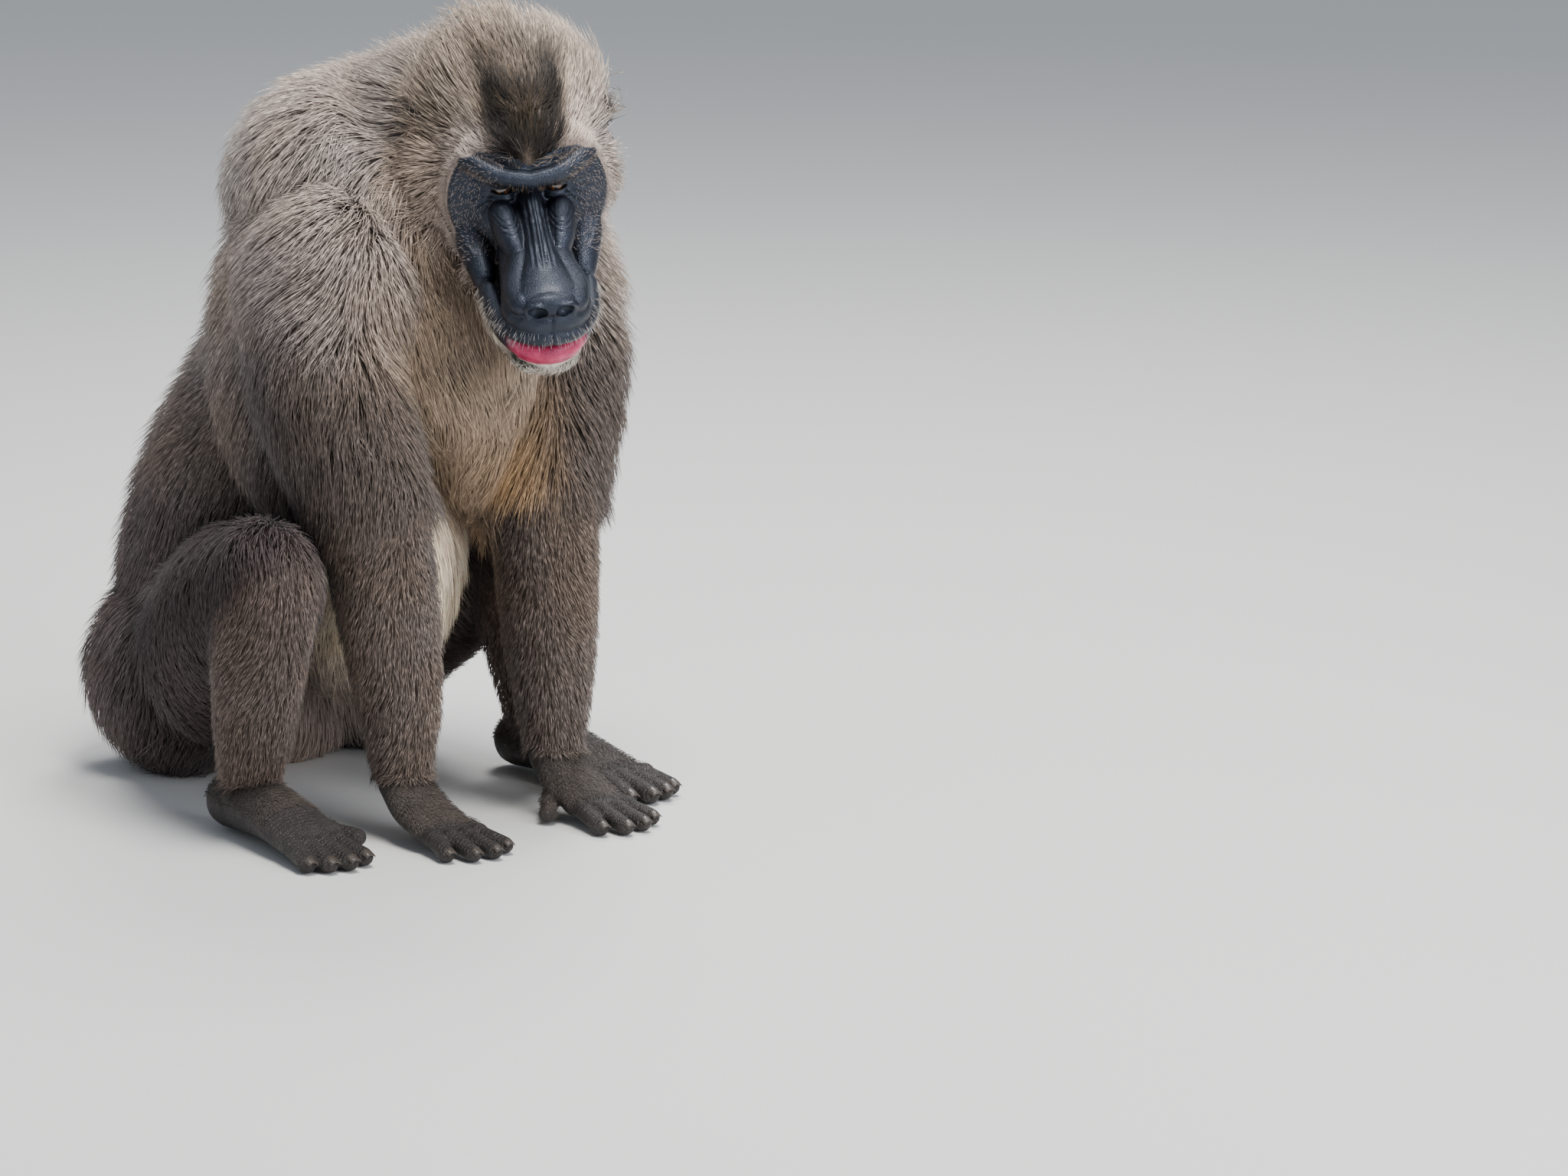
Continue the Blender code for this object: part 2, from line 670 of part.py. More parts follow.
def nape_places():
    """Over the top of the neck."""
    for turn in NAPE_TURNS:
        angle = math.radians(turn)
        yield Vector(NECK[1][:3]), Vector((math.sin(angle), 0.25, math.cos(angle))), Vector((0.3 * angle, 1.0, -0.3))


def head_matrix():
    turn = Matrix.Rotation(HEAD_YAW, 4, "Z") @ Matrix.Rotation(HEAD_ROLL, 4, "Y") @ Matrix.Rotation(HEAD_PITCH, 4, "X")
    return Matrix.Translation(HEAD_PLACE) @ turn


def make_trunk():
    """The torso and the hips: one body, parted at the waist."""
    bm = bmesh.new()
    add_limb(bm, TRUNK, sides=28)
    add_limb(bm, BIB)
    for side in (1, -1):
        add_ball(bm, ((SHOULDER[0][0] + TRUNK_LEAN * side, *SHOULDER[0][1:]), SHOULDER[1]), side)
        add_ball(bm, HAUNCH, side)
    for form in (HUMP, CHEST, BELLY):
        add_ball(bm, form)
    torso = fused("torso", bm, "torso")
    hips = torso.copy()
    hips.data = torso.data.copy()
    hips.name = hips.data.name = "hips"
    bpy.context.scene.collection.objects.link(hips)
    bpy.data.meshes["torso_whole"].copy().name = "hips_whole"
    cut(torso, waist_block(-1))
    cut(hips, waist_block(1))
    rest_on_floor(hips)
    return torso, hips


def waist_block(side):
    """A block that fills all space above (1) or below (-1) the slanted waist."""
    place, slope = WAIST
    turn = Matrix.Translation(place) @ Matrix.Rotation(slope, 4, "X")
    bm = bmesh.new()
    shape = Matrix.Translation((0, 0, side * (0.5 - GAP / 2))) @ Matrix.Diagonal((2, 2, 1, 1))
    bmesh.ops.create_cube(bm, size=1, matrix=turn @ shape)
    return as_object("waist_cutter", bm, "coat", COAT)


def make_neck(torso):
    bm = bmesh.new()
    add_limb(bm, NECK, sides=24)
    neck = fused("neck", bm, "neck")
    part(neck, torso)
    return neck


def make_head():
    place = head_matrix()
    bm = bmesh.new()
    for form in (SKULL, JOWL, DISC, HAIR_CAP, RUFF, FORELOCK, NOSE_PAD):
        add_ball(bm, form, place=place)
    for rows in (MUZZLE, BRIDGE, NOSE_RIDGE, JAW):
        add_limb(bm, rows, place=place)
    for side in (1, -1):
        add_limb(bm, mirrored(PARANASAL, side), place=place)
        add_limb(bm, mirrored(CHEEK, side), place=place)
        add_ball(bm, (EYE[0], (LID_BALL,) * 3), side, place=place)
        add_cord(bm, mirrored(BROW, side), BROW_RADIUS, place=place)
    add_cord(bm, mirrored(UPPER_LIP, -1)[:-1] + UPPER_LIP[::-1], UPPER_LIP_RADIUS, place=place)
    add_cord(bm, mirrored(LOWER_LIP, -1)[:-1] + LOWER_LIP[::-1], LOWER_LIP_RADIUS, place=place)
    head = fused("head", bm, "head")
    for side in (1, -1):
        slit, socket = (shifted(EYE[0], -0.009), LID_SLIT), (EYE[0], (EYE[1] + 2 * GAP,) * 3)
        for form, sides in ((slit, 10), (socket, 14), (NOSTRIL, 10)):
            bm = bmesh.new()
            add_ball(bm, form, side, place=place, sides=sides)
            cut(head, as_object("hollow_cutter", bm, "coat", COAT))
    return head


def shifted(place, forward):
    return (place[0], place[1] + forward, place[2])


def make_eyes(head):
    place = head_matrix()
    eyes = []
    for name, side in (("eye_left", 1), ("eye_right", -1)):
        bm = bmesh.new()
        add_ball(bm, (EYE[0], (EYE[1],) * 3), side, place=place, sides=14)
        eyes.append(as_object(name, bm, "eye", EYE_FINISH))
    return eyes


def make_ears(head, neck, torso):
    place = head_matrix()
    ears = []
    for name, side in (("ear_left", 1), ("ear_right", -1)):
        bm = bmesh.new()
        add_ball(bm, EAR, side, place=place)
        ear = fused(name, bm, "ear", "skin", SKIN)
        bm = bmesh.new()
        add_ball(bm, EAR_CUP, side, place=place, sides=14)
        cut(ear, as_object("cup_cutter", bm, "skin", SKIN))
        part(ear, head, neck, torso)
        ears.append(ear)
    return ears


def arm_rows(rows, side):
    """An arm's stations on one side, with the sway of the girdle above the elbow."""
    top = UPPER_ARM[0][2]
    found = []
    for x, y, z, wide, deep in rows:
        share = max(0.0, (z - ELBOW_HEIGHT) / (top - ELBOW_HEIGHT))
        sway = ELBOW_SWAY + (SHOULDER_SWAY - ELBOW_SWAY) * share
        found.append((x * side + sway, y, z, wide, deep))
    return found


def make_arm(side, word, torso):
    bm = bmesh.new()
    add_limb(bm, arm_rows(UPPER_ARM, side), sides=20)
    arm = fused("upper_arm_" + word, bm, "upper_arm")
    part(arm, torso)
    bm = bmesh.new()
    add_limb(bm, arm_rows(FOREARM, side), sides=20)
    forearm = fused("forearm_" + word, bm, "forearm")
    part(forearm, arm, torso)
    hand = make_hand(side, word)
    part(hand, forearm)
    rest_on_floor(hand)
    return arm, forearm


def make_hand(side, word):
    bm = bmesh.new()
    add_limb(bm, arm_rows(PALM, side), sides=16)
    for points in digits(PALM[-1], FINGER_SPREAD, FINGER_LENGTH, FINGER_PATH, FINGER_ROOT):
        add_cord(bm, hand_points(points, side), FINGER_RADIUS, sides=8)
    add_cord(bm, hand_points(THUMB, side), FINGER_RADIUS, sides=8)
    return fused("hand_" + word, bm, "hand", "digit", DIGIT)


def digits(last, spreads, lengths, path, root):
    """Points of each finger or toe, from behind the last station of the palm or sole to its tip."""
    for spread, length in zip(spreads, lengths):
        yield [
            (last[0] + spread * fan, last[1] - length * share + (root if share == 0 else 0), height)
            for fan, share, height in path
        ]


def hand_points(points, side):
    return [(x * side + ELBOW_SWAY, y, z) for x, y, z in points]


def make_leg(side, word, hips):
    bm = bmesh.new()
    add_limb(bm, mirrored(THIGHS[side], side), sides=20)
    thigh = fused("thigh_" + word, bm, "thigh")
    part(thigh, hips)
    bm = bmesh.new()
    add_limb(bm, mirrored(SHINS[side], side), sides=18)
    shin = fused("lower_leg_" + word, bm, "lower_leg")
    part(shin, thigh)
    foot = make_foot(side, word)
    part(foot, shin)
    rest_on_floor(foot)
    return thigh, shin


def make_foot(side, word):
    aside, back = FOOT_SHIFT[side]
    place = Matrix.Translation((aside * side, back, 0))
    bm = bmesh.new()
    add_limb(bm, mirrored(SOLE, side), sides=16, place=place)
    for points in digits(SOLE[-1], TOE_SPREAD, TOE_LENGTH, TOE_PATH, TOE_ROOT):
        add_cord(bm, mirrored(points, side), TOE_RADIUS, sides=8, place=place)
    add_cord(bm, mirrored(BIG_TOE, side), TOE_RADIUS, sides=8, place=place)
    return fused("foot_" + word, bm, "foot", "digit", DIGIT)


def make_tail(hips):
    bm = bmesh.new()
    add_limb(bm, TAIL, sides=12)
    tail = fused("tail", bm, "tail")
    part(tail, hips)
    rest_on_floor(tail)
    return tail


def centre_origin():
    """Moves everything so that the origin is the bottom centre of the box round it."""
    corners = [Vector(v.co) for obj in bpy.data.objects for v in obj.data.vertices]
    low = Vector([min(c[k] for c in corners) for k in range(3)])
    high = Vector([max(c[k] for c in corners) for k in range(3)])
    shift = Vector((-(low.x + high.x) / 2, -(low.y + high.y) / 2, -low.z))
    for obj in bpy.data.objects:
        obj.data.transform(Matrix.Translation(shift))


def shade(obj):
    obj.data.shade_smooth()
    obj.data.set_sharp_from_angle(angle=math.radians(50))


def main():
    clear_scene()
    torso, hips = make_trunk()
    neck = make_neck(torso)
    head = make_head()
    part(neck, head)
    part(head, torso)
    make_eyes(head)
    ears = make_ears(head, neck, torso)
    arms, legs = [], []
    for side, word in ((1, "left"), (-1, "right")):
        arms.append(make_arm(side, word, torso))
        legs.append(make_leg(side, word, hips))
    tail = make_tail(hips)

    limbs = [obj for pair in (*arms, *legs) for obj in pair]
    cover = surface_of(head, neck, torso, hips, *limbs)
    fixed = [surface_of(obj) for obj in (*ears, *limbs)]
    crest = (in_head(crest_places()), CREST_HAIR, CREST_HUG)
    ruff = (in_head(ruff_places()), RUFF_HAIR, RUFF_HUG)
    beard = (in_head(beard_places()), BEARD_HAIR, BEARD_HUG)
    grow(head, (crest, ruff, beard), [surface_of(torso), surface_of(neck), *fixed], cover)
    fixed.append(surface_of(head))
    grow(neck, ((nape_places(), NAPE_HAIR, NAPE_HUG),), [surface_of(torso), *fixed], cover)
    fixed.append(surface_of(neck))
    mantle = (
        (trunk_places(WITHERS_HEIGHTS, WITHERS_TURNS, MANTLE_LIE, WITHERS_TILT), MANTLE_HAIR, MANTLE_HUG),
        (trunk_places(BACK_HEIGHTS, BACK_TURNS, MANTLE_LIE), MANTLE_HAIR, MANTLE_HUG),
        (shoulder_places(), MANTLE_HAIR, SHOULDER_HUG),
        (trunk_places(CHEST_HEIGHTS, CHEST_TURNS, CHEST_LIE), CHEST_HAIR, CHEST_HUG),
    )
    grow(torso, mantle, [surface_of(hips), *fixed], cover)
    fixed.append(surface_of(torso))
    rump = (trunk_places(RUMP_HEIGHTS, RUMP_TURNS, RUMP_LIE), RUMP_HAIR, RUMP_HUG)
    grow(hips, (rump,), [*fixed, surface_of(tail)], cover)
    for (arm, forearm), (thigh, _), side in zip(arms, legs, (1, -1)):
        sleeve = (arm_places(arm_rows(UPPER_ARM, side), side), SLEEVE_HAIR, SLEEVE_HUG)
        grow(arm, (sleeve,), [surface_of(o) for o in (*ears, head, torso, hips, thigh, forearm)], cover)
    centre_origin()
    for obj in bpy.data.objects:
        shade(obj)


main()
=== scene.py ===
import math

import bpy
import bmesh
import numpy as np
from mathutils import Matrix, Vector, kdtree
from mathutils.bvhtree import BVHTree


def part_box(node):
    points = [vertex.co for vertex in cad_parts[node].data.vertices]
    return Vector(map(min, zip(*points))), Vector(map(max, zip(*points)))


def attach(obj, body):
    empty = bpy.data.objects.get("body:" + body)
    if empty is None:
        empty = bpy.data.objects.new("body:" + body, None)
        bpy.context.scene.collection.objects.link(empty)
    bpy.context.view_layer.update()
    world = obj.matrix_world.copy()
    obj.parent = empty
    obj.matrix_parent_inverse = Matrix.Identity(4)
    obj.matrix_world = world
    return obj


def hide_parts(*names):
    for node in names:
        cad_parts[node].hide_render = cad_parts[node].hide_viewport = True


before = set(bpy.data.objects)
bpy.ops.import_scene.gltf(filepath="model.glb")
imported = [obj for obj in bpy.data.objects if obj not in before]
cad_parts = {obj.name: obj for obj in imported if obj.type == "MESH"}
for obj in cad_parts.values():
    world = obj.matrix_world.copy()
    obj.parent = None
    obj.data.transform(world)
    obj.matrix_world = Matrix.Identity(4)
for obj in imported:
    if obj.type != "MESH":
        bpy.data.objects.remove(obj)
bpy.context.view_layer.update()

SEED = 4

# Forms of the body, as in the part: x, y, z, half-width, half-depth
TRUNK = (
    (0.000, 0.155, 0.070, 0.108, 0.088),
    (0.000, 0.142, 0.150, 0.124, 0.108),
    (0.005, 0.098, 0.235, 0.128, 0.114),
    (0.012, 0.030, 0.325, 0.124, 0.116),
    (0.018, -0.020, 0.410, 0.128, 0.116),
    (0.022, -0.055, 0.480, 0.110, 0.100),
)
SHOULDER = ((0.096, -0.075, 0.420), (0.066, 0.074, 0.095))
HUMP = ((0.009, -0.016, 0.502), (0.120, 0.106, 0.098))
CHEST = ((0.018, -0.105, 0.385), (0.078, 0.062, 0.092))
BELLY = ((-0.002, 0.008, 0.215), (0.088, 0.108, 0.140))
BIB = (
    (0.026, -0.112, 0.370, 0.050, 0.040),
    (0.034, -0.112, 0.315, 0.040, 0.034),
    (0.040, -0.108, 0.272, 0.022, 0.022),
)
HAUNCH = ((0.080, 0.140, 0.085), (0.072, 0.095, 0.085))
TRUNK_LEAN = 0.018
NECK = (
    (0.020, -0.028, 0.512, 0.090, 0.086),
    (0.034, -0.083, 0.553, 0.074, 0.072),
    (0.046, -0.150, 0.556, 0.048, 0.052),
)
UPPER_ARM = (
    (0.114, -0.080, 0.415, 0.050, 0.056),
    (0.108, -0.105, 0.345, 0.052, 0.056),
    (0.084, -0.135, 0.262, 0.044, 0.048),
)
FOREARM = (
    (0.084, -0.135, 0.262, 0.044, 0.047),
    (0.080, -0.145, 0.200, 0.042, 0.045),
    (0.076, -0.156, 0.120, 0.036, 0.038),
    (0.075, -0.160, 0.058, 0.026, 0.027),
)
# Loose skin between the upper arm and the flank
FOLD = (
    (0.091, -0.030, 0.440, 0.050, 0.072),
    (0.093, -0.024, 0.370, 0.048, 0.074),
    (0.088, -0.040, 0.305, 0.042, 0.060),
    (0.086, -0.060, 0.270, 0.028, 0.036),
)
ELBOW_HEIGHT = 0.262
SHOULDER_SWAY, ELBOW_SWAY = 0.018, 0.003
THIGHS = {
    1: (
        (0.096, 0.100, 0.112, 0.060, 0.070),
        (0.108, 0.020, 0.165, 0.058, 0.064),
        (0.112, -0.052, 0.205, 0.042, 0.045),
    ),
    -1: (
        (0.090, 0.070, 0.110, 0.068, 0.078),
        (0.138, -0.030, 0.175, 0.060, 0.068),
        (0.174, -0.122, 0.218, 0.043, 0.050),
    ),
}
SHINS = {
    1: (
        (0.114, -0.054, 0.200, 0.039, 0.040),
        (0.126, -0.052, 0.125, 0.035, 0.037),
        (0.140, -0.050, 0.050, 0.026, 0.029),
    ),
    -1: (
        (0.176, -0.128, 0.214, 0.040, 0.044),
        (0.176, -0.108, 0.130, 0.036, 0.041),
        (0.168, -0.084, 0.050, 0.026, 0.030),
    ),
}
FOOT_SHIFT = {1: (-0.026, 0.034), -1: (0.0, 0.0)}
TAIL = (
    (0.000, 0.205, 0.060, 0.020, 0.020),
    (0.000, 0.245, 0.045, 0.017, 0.017),
    (0.000, 0.270, 0.030, 0.011, 0.011),
)
PALM = (
    (0.075, -0.160, 0.045, 0.022, 0.017),
    (0.075, -0.185, 0.026, 0.027, 0.013),
    (0.075, -0.215, 0.015, 0.028, 0.010),
)
FINGER_SPREAD = (-0.022, -0.008, 0.007, 0.021)
FINGER_LENGTH = (0.046, 0.056, 0.054, 0.042)
FINGER_RADIUS = 0.0074
THUMB = ((0.056, -0.180, 0.018), (0.038, -0.203, 0.009))
SOLE = (
    (0.168, -0.058, 0.024, 0.021, 0.022),
    (0.170, -0.108, 0.026, 0.026, 0.022),
    (0.173, -0.170, 0.017, 0.032, 0.013),
)
TOE_SPREAD = (-0.014, 0.001, 0.015, 0.027)
TOE_LENGTH = (0.056, 0.062, 0.058, 0.048)
TOE_RADIUS = 0.0080
BIG_TOE = ((0.151, -0.132, 0.016), (0.128, -0.176, 0.010))

# Head, in its own frame: the root of the nose is zero, +X its left, -Y forward, +Z up
HEAD_PLACE = Vector((0.010, -0.225, 0.528))
HEAD_PITCH, HEAD_ROLL, HEAD_YAW = math.radians(16), math.radians(-3), math.radians(-28)
SKULL = ((0, 0.072, 0.010), (0.062, 0.074, 0.062))
JOWL = ((0, 0.046, -0.036), (0.062, 0.052, 0.054))
DISC = ((0, 0.016, -0.014), (0.066, 0.014, 0.064))
CHEEK = (
    (0.045, 0.024, -0.028, 0.016, 0.011),
    (0.044, 0.010, -0.050, 0.015, 0.012),
    (0.040, -0.016, -0.070, 0.010, 0.010),
)
HAIR_CAP = ((-0.003, 0.080, 0.022), (0.072, 0.064, 0.069))
RUFF = ((-0.007, 0.068, -0.022), (0.088, 0.040, 0.074))
FORELOCK = ((0, 0.040, 0.058), (0.034, 0.034, 0.028))
MUZZLE = (
    (0, 0.010, -0.040, 0.027, 0.031),
    (0, -0.040, -0.056, 0.031, 0.027),
    (0, -0.080, -0.069, 0.036, 0.020),
)
BRIDGE = (
    (0, 0.000, -0.013, 0.010, 0.010),
    (0, -0.045, -0.032, 0.011, 0.009),
    (0, -0.090, -0.0535, 0.025, 0.0098),
)
NOSE_RIDGE = (
    (0, 0, -0.004, 0.0048, 0.0045),
    (0, -0.036, -0.020, 0.0048, 0.0045),
    (0, -0.068, -0.036, 0.0040, 0.003),
)
PARANASAL = (
    (0.0235, -0.006, -0.021, 0.0112, 0.0115),
    (0.0205, -0.028, -0.031, 0.0112, 0.0130),
    (0.0150, -0.048, -0.042, 0.0072, 0.0085),
)
NOSE_PAD = ((0, -0.098, -0.0578), (0.0215, 0.0112, 0.0108))
NOSTRIL = ((0.0115, -0.1105, -0.0610), (0.0088, 0.0110, 0.0066))
NOSE_WING = (
    (0.004, -0.1065, -0.0555), (0.013, -0.1070, -0.0550), (0.0195, -0.1025, -0.0580), (0.0180, -0.101, -0.0650))
NOSE_WING_RADIUS = 0.0022
UPPER_LIP = ((0.040, -0.034, -0.073), (0.036, -0.068, -0.080), (0.022, -0.092, -0.084), (0, -0.100, -0.085))
UPPER_LIP_RADIUS = 0.0075
LOWER_LIP = ((0.037, -0.033, -0.086), (0.031, -0.064, -0.095), (0.018, -0.085, -0.1005), (0, -0.092, -0.1025))
LOWER_LIP_RADIUS = 0.0080
JAW = (
    (0, 0.030, -0.082, 0.042, 0.020),
    (0, -0.030, -0.100, 0.034, 0.016),
    (0, -0.077, -0.107, 0.026, 0.0115),
)
MUZZLE_SIDE = (
    (0.014, -0.050, -0.0425, 0.012, 0.0100),
    (0.020, -0.074, -0.0530, 0.014, 0.0095),
    (0.019, -0.091, -0.0585, 0.013, 0.0095),
)
BROW = ((0, -0.008, 0.007), (0.022, -0.005, 0.011), (0.038, 0.003, 0.017), (0.048, 0.012, 0.020))
BROW_RADIUS = 0.0080
# The bare disc: half-width, half-height and the height of its middle
FACE_DISC = (0.064, 0.062, -0.014)
EYE = ((0.021, 0.010, -0.004), 0.0100)
LID_BALL = 0.0122
LID_SLIT, LID_SLIT_AHEAD = (0.0095, 0.0120, 0.0025), 0.009
LID_REACH = 0.0132
UPPER_LID, LOWER_LID = (1.0, 0.0022), (-0.9, 0.0018)  # share of the fold's height, and its radius
LID_FOLD = ((-0.0125, 0.0100), (-0.006, 0.0070), (0.002, 0.0062), (0.0095, 0.0075), (0.0135, 0.0105))
EAR = ((0.067, 0.086, 0.019), (0.014, 0.008, 0.016))
EAR_CUP = ((0.071, 0.078, 0.020), (0.009, 0.008, 0.010))

# Depth of the coat over the skin, for each part of the body
DEPTH = {
    "trunk": 0.013, "neck": 0.011, "arm": 0.007, "forearm": 0.006, "thigh": 0.008, "shin": 0.006, "tail": 0.005}
CAP_DEPTH, FORELOCK_DEPTH = 0.009, 0.012
# Size of the grid that each part of the skin is fused on
BODY_GRID, HEAD_GRID, END_GRID = 0.0045, 0.0010, 0.0016
HIDDEN_SHARE = 0.55  # of the skin's faces that are kept, when it is thinned under the head's hair
LOWEST_SKIN, LOWEST_HAIR = 0.0012, 0.0008

# Camera: the photograph's viewing angle, distance, and what it looks at
AZIMUTH, ELEVATION, DISTANCE = math.radians(-38), math.radians(12), 6.5
SENSOR, IMAGE_WIDTH, PIXELS_TO_A_METRE = 36, 2048, 1587
LENS = SENSOR * PIXELS_TO_A_METRE * DISTANCE / IMAGE_WIDTH
AIM_RIGHT, AIM_UP = 0.347, 0.163
EYES_MIDDLE = Vector((0.0151, -0.2156, 0.5269))

# Lights: name, distance towards the camera and to its right, height, size, power and colour
LIGHTS = (
    ("key", 0.8, 0.5, 2.6, 1.3, 112, (1.0, 0.975, 0.94)),
    ("fill", 2.2, 2.2, 1.0, 2.0, 78, (0.95, 0.97, 1.0)),
    ("rim", -1.6, 0.4, 2.0, 1.2, 60, (1.0, 0.98, 0.96)),
)
LIT_MIDDLE = Vector((0, 0, 0.40))
FLOOR_TINT, SKY_TINT, SKY_STRENGTH = (0.72, 0.715, 0.70, 1), (0.80, 0.88, 1.0, 1), 0.45


# Helpers that build meshes


def mirrored(rows, side):
    """The same places or stations on the left (1) or right (-1) side."""
    return tuple((row[0] * side, *row[1:]) for row in rows)


def both_sides(path):
    """The path from its far end on the right, through the middle, to its far end on the left."""
    return mirrored(path, -1)[:-1] + path[::-1]


def curve_value(a, b, c, d, t):
    """Value at share t of the way from b to c, on a smooth curve through a, b, c and d."""
    bend, twist = 2 * a - 5 * b + 4 * c - d, 3 * b - a - 3 * c + d
    return 0.5 * (2 * b + (c - a) * t + bend * t * t + twist * t ** 3)


def smooth_rows(rows, steps=4):
    """Rows read from a smooth curve through the given rows, steps to each stretch."""
    padded = [[2 * a - b for a, b in zip(rows[0], rows[1])], *rows]
    padded.append([2 * a - b for a, b in zip(rows[-1], rows[-2])])
    found = []
    for i in range(1, len(padded) - 2):
        near = list(zip(padded[i - 1], padded[i], padded[i + 1], padded[i + 2]))
        found += [[curve_value(*four, k / steps) for four in near] for k in range(steps)]
    found.append(list(rows[-1]))
    return found


def add_limb(bm, rows, sides=24, steps=6, across=Vector((1, 0, 0)), place=Matrix()):
    """Adds a closed tube with round ends along rows of x, y, z, half-width, half-depth."""
    rows = smooth_rows(rows, steps)
    centres = [Vector(row[:3]) for row in rows]
    sizes = [(row[3], row[4]) for row in rows]
    last = len(centres) - 1
    tangents = [
        (centres[min(i + 1, last)] - centres[max(i - 1, 0)]).normalized() for i in range(last + 1)]
    caps = []
    for end, sign in ((0, -1), (-1, 1)):
        reach = 0.5 * (sizes[end][0] + sizes[end][1])
        ring = []
        for k in (1, 2, 3):
            turn = k * math.pi / 8
            centre = centres[end] + tangents[end] * sign * reach * math.sin(turn)
            ring.append((centre, tangents[end], [s * math.cos(turn) for s in sizes[end]]))
        caps.append((ring, centres[end] + tangents[end] * sign * reach))
    stations = caps[0][0][::-1] + list(zip(centres, tangents, sizes)) + caps[1][0]
    loops = []
    for centre, tangent, (wide, deep) in stations:
        side = (across - tangent * across.dot(tangent)).normalized()
        front = tangent.cross(side)
        angles = [2 * math.pi * k / sides for k in range(sides)]
        points = [centre + side * wide * math.cos(a) + front * deep * math.sin(a) for a in angles]
        loops.append([bm.verts.new(place @ p) for p in points])
    for low, high in zip(loops, loops[1:]):
        for k in range(sides):
            bm.faces.new((low[k], low[(k + 1) % sides], high[(k + 1) % sides], high[k]))
    ends = [bm.verts.new(place @ tip) for _, tip in caps]
    for k in range(sides):
        bm.faces.new((ends[0], loops[0][(k + 1) % sides], loops[0][k]))
        bm.faces.new((ends[1], loops[-1][k], loops[-1][(k + 1) % sides]))


def add_cord(bm, points, radius, sides=12, place=Matrix()):
    """Adds a round limb of one radius through the points."""
    add_limb(bm, [(*p, radius, radius) for p in points], sides, 6, Vector((0, 0, 1)), place)


def add_ball(bm, form, side=1, place=Matrix(), sides=36):
    """Adds an ellipsoid of form (centre, radii)."""
    (x, y, z), radii = form
    shape = Matrix.Translation((x * side, y, z)) @ Matrix.Diagonal((*radii, 1))
    bmesh.ops.create_uvsphere(bm, u_segments=sides, v_segments=sides * 2 // 3, radius=1, matrix=place @ shape)


def linked(name, data):
    """A new object in the scene."""
    obj = bpy.data.objects.new(name, data)
    bpy.context.scene.collection.objects.link(obj)
    return obj


def as_object(name, bm, finish=None):
    bmesh.ops.recalc_face_normals(bm, faces=bm.faces)
    mesh = bpy.data.meshes.new(name)
    bm.to_mesh(mesh)
    bm.free()
    if finish:
        mesh.materials.append(finish)
    return linked(name, mesh)


def apply_modifiers(obj):
    graph = bpy.context.evaluated_depsgraph_get()
    mesh = bpy.data.meshes.new_from_object(obj.evaluated_get(graph))
    old = obj.data
    obj.modifiers.clear()
    obj.data = mesh
    bpy.data.meshes.remove(old)
    mesh.name = obj.name


def fused(name, bm, voxel, smoothing, marks):
    """One smooth closed object from the overlapping closed shapes in bm, its faces marked by its name."""
    obj = as_object(name, bm)
    remesh = obj.modifiers.new("Fuse", "REMESH")
    remesh.mode = "VOXEL"
    remesh.voxel_size = voxel
    smooth = obj.modifiers.new("Soften", "SMOOTH")
    smooth.factor = 0.5
    smooth.iterations = smoothing
    apply_modifiers(obj)
    for mark in marks:
        obj.data.materials.append(mark)
    own = [mark.name for mark in marks].index(name)
    obj.data.polygons.foreach_set("material_index", np.full(len(obj.data.polygons), own, np.int32))
    return obj


def combine(obj, other, operation):
    """Cuts the other object from obj, or joins it to obj, and removes it."""
    step = obj.modifiers.new("Combine", "BOOLEAN")
    step.operation = operation
    step.solver = "MANIFOLD"
    step.object = other
    apply_modifiers(obj)
    bpy.data.objects.remove(other, do_unlink=True)


def read_values(items, field, width=1, kind=np.float32):
    """One value, or a row of width values, for each item."""
    found = np.empty(len(items) * width, kind)
    items.foreach_get(field, found)
    return found.reshape(-1, width) if width > 1 else found


def points_of(mesh):
    """The mesh's points as an array."""
    return read_values(mesh.vertices, "co", 3).astype(np.float64)


def normals_of(mesh):
    return read_values(mesh.vertices, "normal", 3).astype(np.float64)


def set_points(mesh, points):
    mesh.vertices.foreach_set("co", points.astype(np.float32).ravel())
    mesh.update()


def write_attribute(mesh, name, kind, values):
    """Writes one value for each point: kind is FLOAT, FLOAT_VECTOR or FLOAT_COLOR."""
    made = mesh.attributes.new(name, kind, "POINT")
    field = {"FLOAT": "value", "FLOAT_VECTOR": "vector", "FLOAT_COLOR": "color"}[kind]
    if kind == "FLOAT_COLOR":
        values = np.column_stack((values, np.ones(len(values))))
    made.data.foreach_set(field, np.asarray(values, np.float32).ravel())


def mesh_of(name, points, faces):
    """A mesh from arrays of points and of triangles."""
    mesh = bpy.data.meshes.new(name)
    mesh.vertices.add(len(points))
    mesh.vertices.foreach_set("co", points.astype(np.float32).ravel())
    mesh.loops.add(faces.size)
    mesh.loops.foreach_set("vertex_index", faces.astype(np.int32).ravel())
    mesh.polygons.add(len(faces))
    mesh.polygons.foreach_set("loop_start", np.arange(0, faces.size, 3, dtype=np.int32))
    mesh.update(calc_edges=True)
    mesh.shade_smooth()
    return mesh


def unit(vectors):
    return vectors / np.maximum(np.linalg.norm(vectors, axis=-1, keepdims=True), 1e-9)


def step_up(values, low, high):
    """0 below low, 1 above high, smooth between them."""
    t = np.clip((values - low) / (high - low), 0, 1)
    return t * t * (3 - 2 * t)


def window(values, start, full, fall, end):
    """1 from full to fall, 0 below start and above end, smooth between them."""
    return step_up(values, start, full) * (1 - step_up(values, fall, end))


